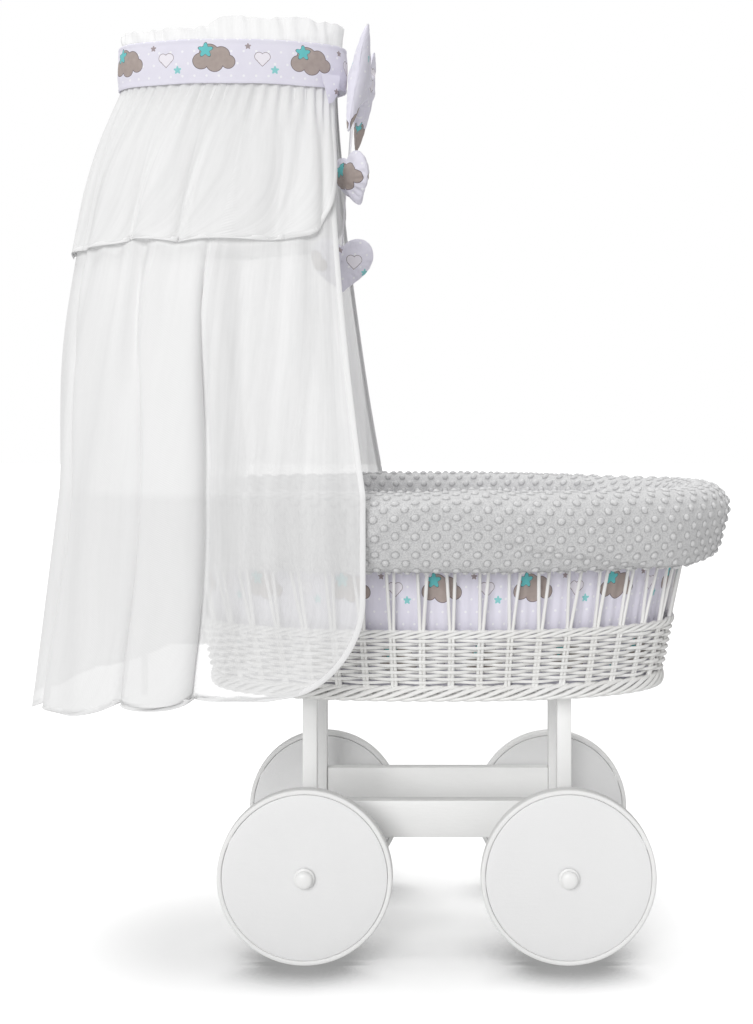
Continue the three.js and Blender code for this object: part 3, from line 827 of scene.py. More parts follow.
def liner():
    """A printed cotton wall inside the basket, softly gathered, closed all round."""
    low, high = (corner.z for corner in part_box("liner"))
    share = shares(720)
    up = np.linspace(low, high, 40)[:, None]
    turn = FULL * share[None, :]
    gathers = 0.9 * MM * np.sin(110 * turn + 2.5 * ripples(turn, 21, 20, 9) + 9 * (up - low))
    folds = 1.6 * MM * ripples(turn + 0.3 * (up - low), 22, 40, 12)
    out = wall_out(up) - 12.5 * MM + (gathers + folds) * (0.35 + 0.65 * rounded(up, 0.40, 0.47))
    outer = oval(angle_at(share)[None, :], out, up)
    inner = oval(angle_at(share)[None, :], out - 1.6 * MM, up)
    rows = np.concatenate([outer, inner[::-1]])
    climb = np.concatenate([up[:, 0], 2 * high - up[::-1, 0], [2 * high - low + 1.6 * MM]])
    round_it = np.linspace(0, RIM_ROUND, len(share) + 1)
    piece = Shape().grid(rows, round_it[None, :], climb[:, None] + 0.039, wrap=(True, True)).build(
        "gathered_liner", "printed_cotton", STAND, ["liner"])


# The bumper's cross-section: how far out from the rim's oval, and the height against the rim.
BUMPER_SKIN = [(2, -104), (13, -106), (31, -98), (43, -71), (46, -40), (41, -13), (27, 6), (6, 13),
               (-20, 10), (-39, -6), (-50, -35), (-53, -65), (-47, -86), (-36, -91)]
BUMPER_SLOT = [(-33, -86), (-19, 1), (6, 1), (-11, -91)]
DOT_SPACING = {"along": 27.5 * MM, "rows": 13.5 * MM, "radius": 5.4 * MM, "rise": 4.2 * MM}
DOTS_ROUND = 80


def bumper_loop():
    """The cross-section as evenly spaced points: first the visible skin, then the slot."""
    skin = smooth_route([(out * MM, up * MM, 0) for out, up in BUMPER_SKIN], 400)[:, :2]
    gone = travelled(skin)
    even = np.linspace(0, gone[-1], 156)
    skin = np.stack([np.interp(even, gone, skin[:, k]) for k in (0, 1)], axis=-1)
    return skin, np.array(BUMPER_SLOT) * MM, even


def coarse_bumper(skin, slot):
    """The bumper swollen as cloth at a coarse spacing; gives how far each point moved."""
    picked = skin[np.linspace(0, len(skin) - 1, 29).round().astype(int)]
    loop = np.concatenate([picked, slot])
    share = shares(160)
    points = oval(angle_at(share)[None, :], loop[:, :1], RIM_Z + loop[:, 1:])
    flat = np.zeros((len(loop) + 1, len(share) + 1))
    piece = Shape().grid(points, flat, flat, wrap=(True, True)).build("swelling", "minky", STAND)
    held = np.zeros(points.shape[:2], bool)
    held[len(picked) :] = True
    held[[0, len(picked) - 1]] = True
    puff(piece, pressure=2.2, cap=4 * MM, slack=0.05, held=held.ravel())
    moved = place_of(piece).reshape(points.shape) - points
    bpy.data.objects.remove(piece)
    return moved[: len(picked)]


def rim_bumper():
    """A padded roll of minky folded over the rim, with its raised dots in staggered rows."""
    skin, slot, even = bumper_loop()
    columns = 13 * DOTS_ROUND
    share = shares(columns)
    turn = FULL * share[None, :]
    rows = np.concatenate([skin, slot])
    sag = 2.2 * MM * ripples(turn, 31, 9, 7) + 1.2 * MM * ripples(turn, 32, 26, 9)
    foot_end = rounded(np.cos(angle_at(share)), 0.72, 0.97)[None, :]
    up = np.clip((rows[:, 1:] / MM + 30) / 90, -0.55, 0.4)
    top_heavy = np.where(rows[:, :1] > 0, 9 * MM * np.sin(math.pi * up) * foot_end, 0)
    points = oval(angle_at(share)[None, :], rows[:, :1] + top_heavy, RIM_Z + rows[:, 1:])
    moved = coarse_bumper(skin, slot)
    at_row = np.linspace(0, len(moved) - 1, len(skin))
    at_column = share * moved.shape[1]
    points[: len(skin)] += stretched(moved, at_row, at_column)
    lift = np.zeros(points.shape[:2])
    lift[: len(skin)] = sag * np.sin(np.linspace(0.15, math.pi - 0.15, len(skin)))[:, None]

    row = np.round(even / DOT_SPACING["rows"])[:, None]
    along = DOTS_ROUND * share[None, :] + 0.5 * (row % 2)
    du = (along - np.round(along)) * DOT_SPACING["along"]
    dv = even[:, None] - row * DOT_SPACING["rows"]
    near = np.clip(1 - (du**2 + dv**2) / DOT_SPACING["radius"] ** 2, 0, 1)
    dots = np.zeros(points.shape[:2])
    dots[: len(skin)] = near**0.55
    dots[:2] = 0
    lift += DOT_SPACING["rise"] * dots
    points += lift[..., None] * outward(points)
    round_it = np.linspace(0, RIM_ROUND, columns + 1)
    climb = np.concatenate([even, even[-1] + np.linspace(0.03, 0.2, len(slot) + 1)])
    # the dot marks also place the minky's painted shade ring round the foot of each dot
    shape = Shape().grid(points, round_it[None, :], climb[:, None], wrap=(True, True),
                         mark=np.clip(1.4 * dots, 0, 1))
    piece = shape.build("minky_bumper", "minky", STAND, ["rim_bumper"], attribute="dot", smooth=80)


def stretched(values, rows, columns):
    """Values of a coarse grid, which closes along its columns, read at finer rows and columns."""
    low = np.clip(np.floor(rows).astype(int), 0, len(values) - 2)
    part = (rows - low)[:, None, None]
    down = values[low] * (1 - part) + values[low + 1] * part
    left = np.floor(columns).astype(int)
    share = ease((columns - left)[None, :, None])
    count = values.shape[1]
    return down[:, left % count] * (1 - share) + down[:, (left + 1) % count] * share


def outward(points):
    """Unit normals of a grid that closes both ways, pointing away from its middle line."""
    across = np.roll(points, -1, axis=0) - np.roll(points, 1, axis=0)
    along = np.roll(points, -1, axis=1) - np.roll(points, 1, axis=1)
    normal = np.cross(along, across)
    return normal / np.maximum(np.linalg.norm(normal, axis=-1, keepdims=True), 1e-12)


def mattress():
    """A quilted pad in a white sheet, crowned, with a piped edge at top and bottom."""
    low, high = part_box("mattress")
    centre = (low + high) / 2
    a, b = (high - low).x / 2, (high - low).y / 2
    turns, _ = even_turns(a=a, b=b)
    share = shares(200)
    side = [(-10, 0), (-3, 0), (0, 3), (-1.5, 8), (-0.5, 25), (-1.5, 42), (0, 46), (-3, 49.5),
            (-10, 50)]
    edge = oval(turns(share), 0, 0, a, b, 0)
    rows = [(1 - shrink, low.z) for shrink in (0.99, 0.7, 0.4, 0.15)]
    rows += [(1 + out * MM / b, low.z + up * MM) for out, up in side]
    top_steps = (0.1, 0.2, 0.35, 0.5, 0.65, 0.8, 0.99)
    rows += [(1 - shrink, high.z + 1.5 * MM * shrink) for shrink in top_steps]
    loop = np.array(rows)[:, :, None]
    x, y = edge[:, 0] * loop[:, 0], edge[:, 1] * loop[:, 0]
    quilt = 0.9 * MM * np.sin(x * FULL / 0.09) * np.sin(y * FULL / 0.09)
    z = loop[:, 1] + np.where(loop[:, 1] > high.z, quilt, 0)
    points = spots(centre.x + x, centre.y + y, z)
    closed = np.concatenate([points, points[:, :1]], axis=1)
    along, up = closed[..., 0], closed[..., 1] + closed[..., 2]
    piece = Shape().grid(points, along, up, wrap=(False, True)).build(
        "quilted_mattress", "white_cotton", STAND, ["mattress"], smooth=80)


woven_wall()
base_border()
stakes()
liner()
rim_bumper()
mattress()


# ---- rod, ring and the canopy's cloth ------------------------------------------------------------

RING_SIDES = 32
RING_WIRE = 4 * MM
RING_X, RING_Z = middle("canopy_ring").x, middle("canopy_ring").z
RING_A = half("canopy_ring").x / math.cos(math.pi / RING_SIDES) - RING_WIRE
RING_B = half("canopy_ring").y / math.cos(math.pi / RING_SIDES) - RING_WIRE
BAND_LOW, BAND_HIGH = (corner.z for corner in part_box("canopy_band"))
BAND_OUT = 18 * MM
ROD_X = BASKET_X - 0.470
ROD_LEAN_Z = (1.08, 1.31)
FRILL_LOW = 1.413
FRILL_RISE = 17 * MM
FRILL_LIMIT = 1.445


def ring_oval(angle, out, z):
    return oval(angle, out, z, RING_A, RING_B, RING_X, 2)


ring_turns, BAND_ROUND = even_turns(2, RING_A + BAND_OUT, RING_B + BAND_OUT)


def canopy_rod():
    """The rod stands straight up from its bracket and leans in a little to the ring."""
    low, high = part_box("canopy_rod")
    radius = half("canopy_rod").y
    top = middle("ring_ferrule").x
    heights = np.linspace(low.z + 0.3 * MM, high.z - 0.3 * MM, 70)
    path = spots(ROD_X + (top - ROD_X) * rounded(heights, *ROD_LEAN_Z), 0, heights)
    Shape().tube(path, radius, 24, reference=(0, 1, 0)).build(
        "enamelled_rod", "rod_paint", CANOPY, ["canopy_rod"])

    low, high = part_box("ring_ferrule")
    radius = half("ring_ferrule").y
    share = np.array([0, 0.02, 0.06, 0.2, 0.24, 0.28, 0.72, 0.76, 0.8, 0.94, 0.98, 1])
    width = np.array([0.86, 0.96, 1, 1, 0.92, 1, 1, 0.92, 1, 1, 0.96, 0.86])
    path = spots((low.x + high.x) / 2, 0, low.z + share * (high.z - low.z))
    Shape().tube(path, radius * width, 24, reference=(0, 1, 0)).build(
        "crimped_ferrule", "steel", CANOPY, ["ring_ferrule"], smooth=60)

    share = shares(160)
    Shape().tube(ring_oval(ring_turns(share), 0, RING_Z), RING_WIRE, 14, closed=True).build(
        "enamelled_ring", "rod_paint", CANOPY, ["canopy_ring"])


def canopy_band():
    """A padded printed band round the ring, with soft creases and a rolled edge above and below."""
    share = shares(420)
    turn = FULL * share[None, :]
    profile = [(-1.4, -1), (-0.6, -2.6), (0.6, -3), (1.6, -1.8), (1.8, 2), (1.2, 3.5), (1.9, 8),
               (2.6, 20), (3.0, 33), (2.6, 46), (1.9, 57), (1.2, 60.5), (1.8, 62), (1.6, 64.8),
               (0.6, 66), (-0.6, 65.7), (-1.4, 64.5), (-1.6, 48), (-1.6, 33), (-1.6, 18)]
    loop = np.array(profile)[:, :, None] * MM
    middle_share = np.sin(math.pi * np.clip(loop[:, 1] / (66 * MM), 0, 1))
    lean = turn + 14 * loop[:, 1]
    crease = 1.1 * MM * ripples(lean, 41, 42, 14)
    crease = crease + 1.0 * MM * ripples(turn - 9 * loop[:, 1], 42, 16, 6)
    out = BAND_OUT + loop[:, 0] + crease * (0.25 + middle_share)
    sag = 0.9 * MM * ripples(turn, 43, 12, 6)
    points = ring_oval(ring_turns(share)[None, :], out, BAND_LOW + loop[:, 1] + sag)
    round_it = np.linspace(0, BAND_ROUND, len(share) + 1)[None, :]
    up = np.append(np.array(profile)[:, 1], -1)[:, None] * MM
    piece = Shape().grid(points, round_it + 0.01, up + 0.020, wrap=(True, True)).build(
        "printed_band", "printed_cotton", CANOPY, ["canopy_band"], smooth=70)


def frill():
    """The cloth's gathered upper edge stands up above the band, higher towards the foot end."""
    share = shares(900)
    turn = FULL * share[None, :]
    climb = np.linspace(0, 1, 24)[:, None]
    angle = ring_turns(share)[None, :]
    top = FRILL_LOW + FRILL_RISE * rounded(np.cos(angle), -0.35, 0.15)
    top = top + 6 * MM * ripples(turn, 51, 24, 9) + 2.5 * MM * ripples(turn, 52, 52, 9)
    top = np.minimum(top, FRILL_LIMIT)
    low = BAND_HIGH - 8 * MM
    pleats = np.sin(31 * turn + 4 * ripples(turn, 53, 14, 7) + 1.8 * climb)
    pleats = pleats * (0.6 + 0.4 * ripples(turn, 55, 9))
    waves = ripples(turn + 0.4 * climb, 54, 17, 8)
    out = 12 * MM + 2 * MM * climb + pleats * (1.4 + 1.8 * climb) * MM
    out = out + waves * 6.5 * MM * climb**1.3
    points = ring_oval(angle + 0.03 * climb * waves, out, low + (top - low) * climb)
    round_it = np.linspace(0, 2.1, len(share) + 1)[None, :]
    # the tulle's material also darkens its colour where these layers pile up, as painted shade
    layers = 1.25 + 0.35 * pleats * (1 - 0.4 * climb) + 0.2 * waves
    piece = Shape().grid(points, round_it, 0.06 * climb, wrap=(False, True), mark=layers).build(
        "gathered_frill", "tulle", CANOPY, ["canopy_frill"], attribute="layers", smooth=180)


CLOTH_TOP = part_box("curtain")[1].z
CLOTH_FREE = BAND_LOW - 2 * MM
FRONT_GAP = 0.34  # half the angle at the ring's front that the hanging cloth leaves open
FOLD_Z = 0.700  # where the cloth has spread to its full width
ROUND_SHARE = 0.66
HALF_WIDTH = 0.670  # of the hanging cloth, from the head end to a front edge
CURTAIN_HEM = 0.367
VALANCE_HEM = 1.062
LAYER_GAP = 3.2 * MM
DRAPE = {"x": BASKET_X - 0.330, "head": 0.268, "side": 0.292, "front": BASKET_X - 0.100, "flare": 0.130}


def fallen(z):
    """0 where the cloth leaves the band and 1 from the fold height down."""
    return np.clip((CLOTH_FREE - z) / (CLOTH_FREE - FOLD_Z), 0, 1)


def drape(turn, z, out):
    """The hanging cloth: turn is -1 at the near front edge, 0 at the head end and 1 at the far edge."""
    on_ring = turn * (math.pi - FRONT_GAP)
    reach = 10.2 * MM + out
    ring_x = RING_X - (RING_A + reach) * np.cos(on_ring)
    ring_y = (RING_B + reach) * np.sin(on_ring)
    bend = np.minimum(np.abs(turn), ROUND_SHARE) / ROUND_SHARE * math.pi / 2
    straight = np.clip((np.abs(turn) - ROUND_SHARE) / (1 - ROUND_SHARE), 0, 1)
    flare = np.maximum(0, FOLD_Z - z) * DRAPE["flare"]
    head_x = DRAPE["x"] - (DRAPE["head"] + flare + out) * np.cos(bend)
    open_x = head_x + (DRAPE["front"] - head_x) * straight
    open_y = np.sign(turn) * (DRAPE["side"] + 0.03 * flare + out) * np.sin(bend)
    fall = fallen(z)
    head_fall = 1 - (1 - fall) ** 3
    fall_x = head_fall + (fall**1.6 - head_fall) * np.sqrt(straight)
    return spots(ring_x + (open_x - ring_x) * fall_x, ring_y + (open_y - ring_y) * fall, z)


def corner_share(z, hem, radius):
    """How much of the half width is left at height z, above a hem whose front corners are rounded."""
    below = np.clip((hem + radius - z) / radius, 0, 1)
    return 1 - radius * (1 - np.sqrt(1 - below**2)) / HALF_WIDTH


def curtain_pleats(turn, z):
    """Phase of the curtain's pleats: a flat front panel, two broad pleats, then narrower ones."""
    count = np.interp(turn, (-1, -0.645, -0.50, -0.22, 1.02), (0, 1, 2, 3, 9))
    sway = 0.12 * np.sin(9 * (z - 0.5)) + 0.16 * (z - 0.7) * np.sin(4 * turn)
    return FULL * (count + sway) - math.pi / 2


def front_panel(turn):
    """1 on the near side's flat front panel and 0 elsewhere, over the width of one fold."""
    return rounded(-turn, 0.645, 0.70)


def curtain_folds(turn, z):
    """How far the curtain's folds stand out, how far they lean sideways, and where they lie doubled."""
    fall = fallen(z)
    around = math.pi * turn
    calm = 1 - 0.8 * rounded(np.abs(turn), 0.93, 1)
    gathers = np.sin(52 * around + 1.5 * ripples(around, 61, 9))
    soft = np.sin(19 * around + 2.4 * ripples(around, 62, 6) + 3 * (z - 0.9))
    phase = curtain_pleats(turn, z)
    flat = front_panel(turn)
    out = 2.2 * MM * gathers * (1 - rounded(fall, 0.02, 0.16))
    out = out + (3.0 - 1.2 * flat) * MM * soft * rounded(fall, 0.0, 0.25)
    out = out + 3.5 * MM * np.sin(2 * phase + 1.3) * rounded(fall, 0.15, 0.6) * (1 - flat)
    out = out + 16 * MM * (0.40 + (0.5 - 0.3 * flat) * np.sin(phase)) * rounded(fall, 0.15, 0.75)
    out = out - 11 * MM * (1 - rounded(np.abs(turn), 0.2, 0.55)) * rounded(fall, 0.05, 0.5)
    lean = (0.018 * flat - 0.030) * np.cos(phase) * rounded(fall, 0.1, 0.7) * (1 - np.abs(turn) ** 8)
    side_fold = rounded(-np.sin(phase + 0.5), 0.55, 0.75) * rounded(fall, 0.2, 0.5) * (1 - 0.7 * flat)
    head_folds = (1 - rounded(np.abs(turn), 0.63, 0.67)) * rounded(fall, 0.25, 0.75)
    thin = 0.10 * rounded(-turn, 0.66, 0.74) * rounded(fall, 0.35, 0.75)
    edge = 0.9 * rounded(np.abs(turn), 0.8, 0.92) * rounded(fall, 0.2, 0.4)
    edge = edge * (1 - rounded(fall, 0.55, 0.85))
    return out * calm, lean, 0.5 * side_fold + 2.1 * head_folds - thin - edge


def valance_folds(turn, z):
    """The same three numbers for the short layer, whose folds are finer."""
    fall = np.clip((CLOTH_FREE - z) / 0.27, 0, 1)
    around = math.pi * turn
    calm = 1 - 0.6 * rounded(np.abs(turn), 0.93, 1)
    gathers = np.sin(46 * around + 1.8 * ripples(around, 71, 9))
    soft = np.sin(25 * around + 2.2 * ripples(around, 72, 7) + 4 * (z - 1.2))
    phase = 11.5 * around + 1.9 * ripples(around, 73, 5) + 2.5 * (z - 1.1) * np.sin(5 * turn)
    out = 2.0 * MM * gathers * (1 - rounded(fall, 0.05, 0.35))
    out = out + 1.5 * MM * soft * rounded(fall, 0.0, 0.4)
    out = out + 9.5 * MM * (0.9 + 0.38 * np.sin(phase)) * rounded(fall, 0.0, 0.7)
    out = out - 9 * MM * (1 - rounded(np.abs(turn), 0.2, 0.55)) * rounded(fall, 0.2, 0.9)
    lean = -0.016 * np.cos(phase) * rounded(fall, 0.1, 0.7) * (1 - np.abs(turn) ** 8)
    return out * calm, lean, 0.3 * rounded(-np.sin(phase + 0.5), 0.5, 0.7) * rounded(fall, 0.15, 0.5)


def hanging_cloth(folds, hem_at, *, offset, front_hem, corner, rows, columns, width):
    """Points, flat coordinates and layers of a gathered cloth that hangs from the ring."""
    u = np.linspace(-1, 1, columns)[None, :]
    down = np.linspace(0, 1, rows)[:, None]
    turn = u * corner_share(CLOTH_TOP + (front_hem - CLOTH_TOP) * down, front_hem, corner)
    z = CLOTH_TOP + (hem_at(turn) - CLOTH_TOP) * down
    out, lean, doubled = folds(turn, z)
    points = drape(turn + lean, z, offset + out)
    plain = drape(turn, z, offset)
    across = np.linalg.norm(np.gradient(plain, axis=1), axis=-1)
    folded = np.linalg.norm(np.gradient(points, axis=1), axis=-1)
    gathered = np.clip(width / columns / across, 1, 2.0)
    # the tulle's material also darkens its colour where these layers pile up, as painted shade
    layers = gathered * (0.78 + 0.3 * np.clip(folded / across, 0.7, 2.0)) + doubled
    return points, u * width / 2, (CLOTH_TOP - hem_at(0 * u)) * (1 - down), layers


def hem_strip(name, points, width, body, steps):
    """A folded hem along the two front edges and the bottom of a hanging cloth."""
    rows, columns = points.shape[:2]
    down = [(r, 0) for r in range(rows - 1)]
    along = [(rows - 1, c) for c in range(columns)]
    back = [(r, columns - 1) for r in range(rows - 2, -1, -1)]
    edge = np.array(down + along + back)
    inner = np.column_stack([np.minimum(edge[:, 0], rows - 1 - steps[0]),
                             np.clip(edge[:, 1], steps[1], columns - 1 - steps[1])])
    rim = points[edge[:, 0], edge[:, 1]]
    tangent = np.gradient(rim, axis=0)
    tangent /= np.maximum(np.linalg.norm(tangent, axis=1, keepdims=True), 1e-9)
    inward = points[inner[:, 0], inner[:, 1]] - rim
    inward -= (inward * tangent).sum(axis=1, keepdims=True) * tangent
    for _ in range(4):
        inward[1:-1] = (inward[:-2] + inward[1:-1] + inward[2:]) / 3
    inward /= np.maximum(np.linalg.norm(inward, axis=1, keepdims=True), 1e-9)
    normal = np.cross(tangent, inward)
    half_thick = 0.5 * MM
    near, far = 0.2 * MM, width - 0.3 * MM
    section = [(-0.3 * MM, 0.0), (near, half_thick), (far, 0.8 * half_thick), (width, 0.0),
               (far, -0.8 * half_thick), (near, -half_thick)]
    loop = np.array([rim + inward * across + normal * off for across, off in section])
    over = np.linspace(0, 2 * width, len(section) + 1)[:, None]
    return Shape().grid(loop, travelled(rim)[None, :], over, wrap=(True, False)).build(
        name, "tulle", body, smooth=180, finish="tulle_hem")


def curtain():
    """The long curtain, open at the front, whose hem falls in soft scallops."""
    def hem_at(turn):
        scallop = 7 * MM * (1 - 0.8 * front_panel(turn)) * np.sin(curtain_pleats(turn, FOLD_Z / 2))
        rise = 0.045 * rounded(np.abs(turn), 0.1, 0.75)
        return CURTAIN_HEM + rise - scallop * (1 - np.abs(turn) ** 6)

    points, u, v, layers = hanging_cloth(
        curtain_folds, hem_at, offset=0, front_hem=0.420, corner=0.140, rows=170, columns=760,
        width=1.7)
    piece = Shape().grid(points, u, v, mark=layers).build(
        "tulle_curtain", "tulle", CANOPY, ["curtain"], attribute="layers", smooth=180)
    hem = hem_strip("curtain_hem", points, 8 * MM, CANOPY, (2, 5))


def valance():
    """A shorter second layer over the curtain, with rounded front corners."""
    def hem_at(turn):
        return VALANCE_HEM + 0.022 * np.abs(turn) + 6 * MM * ripples(math.pi * turn, 75, 12, 6)

    points, u, v, layers = hanging_cloth(
        valance_folds, hem_at, offset=LAYER_GAP, front_hem=1.086, corner=0.130, rows=60, columns=640,
        width=1.2)
    piece = Shape().grid(points, u, v, mark=layers).build(
        "tulle_valance", "tulle", CANOPY, ["valance"], attribute="layers", smooth=180)
    hem = hem_strip("valance_hem", points, 7 * MM, CANOPY, (2, 5))


canopy_rod()
canopy_band()
frill()
curtain()
valance()


# ---- bow, hearts and the band's loose end --------------------------------------------------------

BOW_TILT = 0.18


def bow_place(points):
    """Points about the bow's middle, tilted as the bow leans, in the frame."""
    centre = middle("bow_knot")
    x, y, z = np.moveaxis(points, -1, 0)
    c, s = math.cos(BOW_TILT), math.sin(BOW_TILT)
    return spots(centre.x + x * c + z * s, centre.y + y, centre.z - x * s + z * c)


def bow_loop(side):
    """One stuffed side of the bow: pleated at the knot, flaring to a tall rounded end."""
    sign = SIDES[side]
    start, end = 19 * MM, half("bow_loop_near").y * 2 + 20 * MM
    tip = 0.8 + 0.2 * np.sin(np.linspace(0.1, math.pi / 2, 12))
    along = np.concatenate([np.linspace(0, 0.8, 22), tip])[:, None]
    angle = FULL * shares(72)[None, :]
    rounding = np.sqrt(np.maximum(1 - np.clip((along - 0.8) / 0.2, 0, 1) ** 2, 0.0004))
    tall = (20 + 76 * along**1.2) * MM * rounding**0.35
    deep = (8 + 9 * np.sin(math.pi * np.minimum(along / 1.25, 0.5) ** 0.8)) * MM * rounding
    pleat = 1 + 0.34 * np.cos(9 * angle) * (1 - rounded(along, 0.05, 0.7))
    pucker = 0.5 * MM * np.sin(31 * angle) * rounded(along, 0.5, 0.95)
    x = deep * bent(np.sin(angle), 1.35) * pleat + pucker * np.sin(angle)
    z = tall * np.cos(angle)
    y = sign * (start + (end - start) * along)
    points = spots(x, y, z)
    closed = np.concatenate([points, points[:, :1]], axis=1)
    facing = points if sign > 0 else points[:, ::-1]
    along, up = sign * closed[..., 1] - 0.035, closed[..., 2] + 0.12
    piece = Shape().grid(bow_place(facing), along, up, wrap=(False, True)).build(
        f"stuffed_bow_{side}", "printed_cotton", CANOPY, [f"bow_loop_{side}"], smooth=80)
    held = np.zeros(points.shape[:2], bool)
    held[:2] = True
    puff(piece, pressure=2.5, cap=4 * MM, slack=0.06, held=held.ravel())
    finer(piece)

    rise = np.linspace(-0.86, 0.86, 60)
    bulge = 1.2 * MM + (end - start) * (1 - 0.055 * rise**2)
    seam = spots(0, sign * (start + bulge), 96 * MM * rise)
    Shape().tube(bow_place(seam), 1.1 * MM, 8, reference=(1, 0, 0)).build(
        f"bow_seam_{side}", "white_cotton", CANOPY)


def bow_knot():
    """The wrapped middle of the bow, creased where the loops pull at it."""
    size = Vector((38, 40, 56)) * MM / 2
    up = np.linspace(-1, 1, 26)[:, None]
    angle = FULL * shares(60)[None, :]
    shrink = np.maximum(1 - np.abs(up) ** 3.2, 0.0004) ** 0.4
    c, s = np.cos(angle), np.sin(angle)
    crease = 1 + 0.06 * np.cos(7 * angle + 1.5 * up) * np.abs(s) + 0.03 * np.cos(12 * angle)
    x = size.x * 0.94 * shrink * crease * bent(c, 0.72)
    y = size.y * 0.94 * shrink * crease * bent(s, 0.72)
    points = spots(x, y, size.z * up)
    round_it = np.linspace(0, 0.12, 61)[None, :]
    piece = Shape().grid(bow_place(points), round_it, size.z * up + 0.046, wrap=(False, True)).build(
        "wrapped_knot", "printed_cotton", CANOPY, ["bow_knot"])


def band_tail():
    """The band's loose end, a short pointed flap of cloth that hangs beside the bow."""
    low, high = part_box("band_tail")
    across = np.linspace(0, 1, 14)[None, :]
    down = np.linspace(0, 1, 14)[:, None]
    start = np.array([low.x, low.y + 1.5 * MM, high.z])
    run = np.array([(high - low).x, (high - low).y - 3 * MM, 0]) / 40
    point_x = 4 + 32 * across + (16 + 18 * across - (4 + 32 * across)) * down
    drop = -(46 - 18 * across**2) * down
    curl = 2.0 * np.sin(2.4 * down + 2 * across) * down
    middle_face = start + point_x[..., None] * run + drop[..., None] * np.array([0, 0, MM])
    away = np.array([run[1], -run[0], 0]) / np.hypot(run[0], run[1])
    faces = [middle_face + ((curl + off) * MM)[..., None] * away for off in (0.7, -0.7)]
    loop = np.concatenate([faces[0], faces[1][:, ::-1]], axis=1)
    u, v = (MM * np.concatenate([part, part[:, ::-1], part[:, :1]], axis=1)
            for part in (point_x, drop))
    piece = Shape().grid(loop, u + 0.060, v + 0.100, wrap=(False, True)).build(
        "loose_band_end", "printed_cotton", CANOPY, ["band_tail"], smooth=60)


def heart_outline(width, count):
    """Points round a heart, from its cleft, as two mirrored Bezier curves a side."""
    w = width / 2
    side = [[(0, 0.52), (0.25, 0.95), (1, 0.95), (1, 0.28)],
            [(1, 0.28), (1, -0.3), (0.4, -0.55), (0, -0.92)]]
    t = np.linspace(0, 1, count)[:, None]
    right = []
    for a, b, c, d in np.array(side):
        right.append((1 - t) ** 3 * a + 3 * t * (1 - t) ** 2 * b + 3 * t**2 * (1 - t) * c + t**3 * d)
    right = np.concatenate([right[0], right[1][1:]])
    left = right[-2:0:-1] * (-1, 1)
    return np.concatenate([right, left]) * w


def heart(name, turn, roll, print_at):
    """A stuffed heart with a puckered seam round its edge."""
    low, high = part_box(f"heart_{name}")
    centre = (low + high) / 2
    width = 94 * MM if name == "upper" else 100 * MM
    outline = heart_outline(width, 22)
    inner = np.array([0, 0.03 * width])
    count = 17
    reach = np.sin(np.linspace(0.02, math.pi / 2, count))
    reach = np.concatenate([reach, reach[-2::-1]])[:, None]
    face = np.concatenate([np.ones(count), -np.ones(count - 1)])[:, None]
    angle = FULL * shares(len(outline))[None, :]
    plump = np.maximum(1 - reach**2.6, 0) ** 0.6
    pucker = 1 + 0.1 * np.sin(24 * angle + face) * rounded(reach, 0.55, 0.98)
    thick = face * (14.5 * MM * plump * pucker + 0.5 * MM)
    flat_x, flat_z = (inner[k] + (outline[:, k] - inner[k]) * reach for k in (0, 1))
    points = spots(flat_x, thick, flat_z)
    c, s = math.cos(turn), math.sin(turn)
    x = points[..., 0] * c - points[..., 1] * s
    y = points[..., 0] * s + points[..., 1] * c
    hung = points[..., 2] - 0.26 * width
    c, s = math.cos(roll), math.sin(roll)
    top = high.z - 0.10 * width
    placed = spots(centre.x + x * c - hung * s, centre.y + y, top + x * s + hung * c)
    rise = np.diff(14.5 / 50 * plump[:, 0])
    steps = np.hypot(np.diff(reach[:, 0]), rise)[: count - 1]
    run = np.concatenate([[0], np.cumsum(steps)])
    run = np.concatenate([run, run[-2::-1]])[:, None]
    closed = np.concatenate([outline, outline[:1]])
    printed = (print_at[k] + inner[k] + (closed[:, k] - inner[k]) * run for k in (0, 1))
    piece = Shape().grid(placed, *printed, wrap=(False, True)).build(
        f"stuffed_heart_{name}", "printed_cotton", f"{name}_heart", [f"heart_{name}"], smooth=70)
    held = np.zeros(points.shape[:2], bool)
    held[count - 1] = True
    puff(piece, pressure=2.0, cap=2.5 * MM, slack=0.05, held=held.ravel())
    finer(piece)


for side in SIDES:
    bow_loop(side)
bow_knot()
band_tail()
heart("upper", -1.0, 0.24, (0.031, 0.052))
heart("lower", 0.05, 0.0, (0.094, 0.052))


# ---- pieces kept as the CAD made them ------------------------------------------------------------

def finish_node(node, slot):
    """Gives a CAD node its finish and leaves its shape alone."""
    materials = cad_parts[node].data.materials
    materials.clear()
    materials.append(MATERIALS[slot])


finish_node("basket_base", "painted_wood")
finish_node("rod_bracket", "rod_paint")
finish_node("clamp_knob", "cap_plastic")
for end in ENDS:
    finish_node(f"axle_{end}", "steel")
    for side in SIDES:
        finish_node(f"basket_bolt_{end}_{side}", "steel")


# ---- floor and light -------------------------------------------------------------------------------

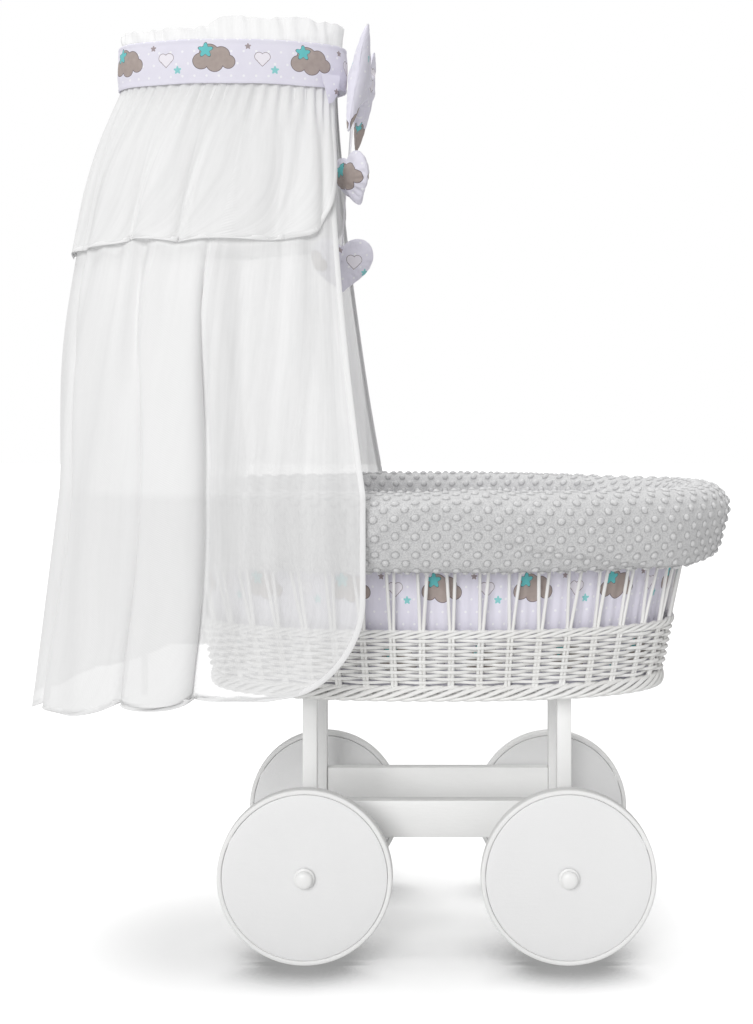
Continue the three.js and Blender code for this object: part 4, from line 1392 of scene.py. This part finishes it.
def make_floor():
    """A pale floor that glows a little, with a painted shadow, nearly black, where something stands
    close above it.

    It lights the object less than it seems to: only the camera sees its bright face."""
    n = Nodes("pale_floor", 0.75)
    near = n.node("ShaderNodeAmbientOcclusion", Distance=0.2)
    near.samples = 16
    # painted shadow: where ambient occlusion finds something close above, the floor's colour goes
    # towards #141414
    open_sky = n.between(near.outputs["AO"], 0.6, 0.88)
    n.colour(open_sky, "#141414", n.mix(n.noise(1.5), "#fafafa", "#fcfcfc"))
    n.bump((n.noise(40), 0.2 * MM))
    n.shader.inputs["Emission Color"].default_value = (1, 1, 1, 1)
    n.shader.inputs["Emission Strength"].default_value = 0.3
    dim = n.node("ShaderNodeBsdfDiffuse", Color="#d2d2d2").outputs[0]
    seen = n.node("ShaderNodeLightPath").outputs["Is Camera Ray"]
    mix = n.node("ShaderNodeMixShader")
    for value, socket in zip((seen, dim, n.shader.outputs[0]), mix.inputs):
        n.put(value, socket)
    n.put(mix.outputs[0], n.tree.nodes["Material Output"].inputs["Surface"])
    corners = [(x * 14, y * 14, 0) for x, y in ((-1, -1), (1, -1), (1, 1), (-1, 1))]
    mesh = bpy.data.meshes.new("floor")
    mesh.from_pydata(corners, [], [(0, 1, 2, 3)])
    mesh.materials.append(n.material)
    add_object("floor", mesh)


def soft_sun(name, direction, strength, spread):
    data = bpy.data.lights.new(name, "SUN")
    data.energy = strength
    data.angle = math.radians(spread)
    lamp = add_object(name, data)
    lamp.rotation_euler = Vector(direction).to_track_quat("-Z", "Y").to_euler()


def make_light():
    """A white studio: an even surround that the camera sees as pure white, and two wide soft lights."""
    world = bpy.data.worlds.new("studio")
    bpy.context.scene.world = world
    world.use_nodes = True
    tree = world.node_tree
    surround = tree.nodes["Background"]
    surround.inputs["Strength"].default_value = 0.4
    white = tree.nodes.new("ShaderNodeBackground")
    white.inputs["Strength"].default_value = 1.0
    for background in (surround, white):
        background.inputs["Color"].default_value = (1, 1, 1, 1)
    seen = tree.nodes.new("ShaderNodeLightPath").outputs["Is Camera Ray"]
    mix = tree.nodes.new("ShaderNodeMixShader")
    tree.links.new(seen, mix.inputs[0])
    tree.links.new(surround.outputs[0], mix.inputs[1])
    tree.links.new(white.outputs[0], mix.inputs[2])
    tree.links.new(mix.outputs[0], tree.nodes["World Output"].inputs[0])
    soft_sun("high_key", (0.12, -0.22, -1), 1.85, 50)
    soft_sun("front_key", (0.3, 1, -0.38), 1.45, 30)
    bpy.context.scene.view_settings.view_transform = "Standard"


make_floor()
make_light()
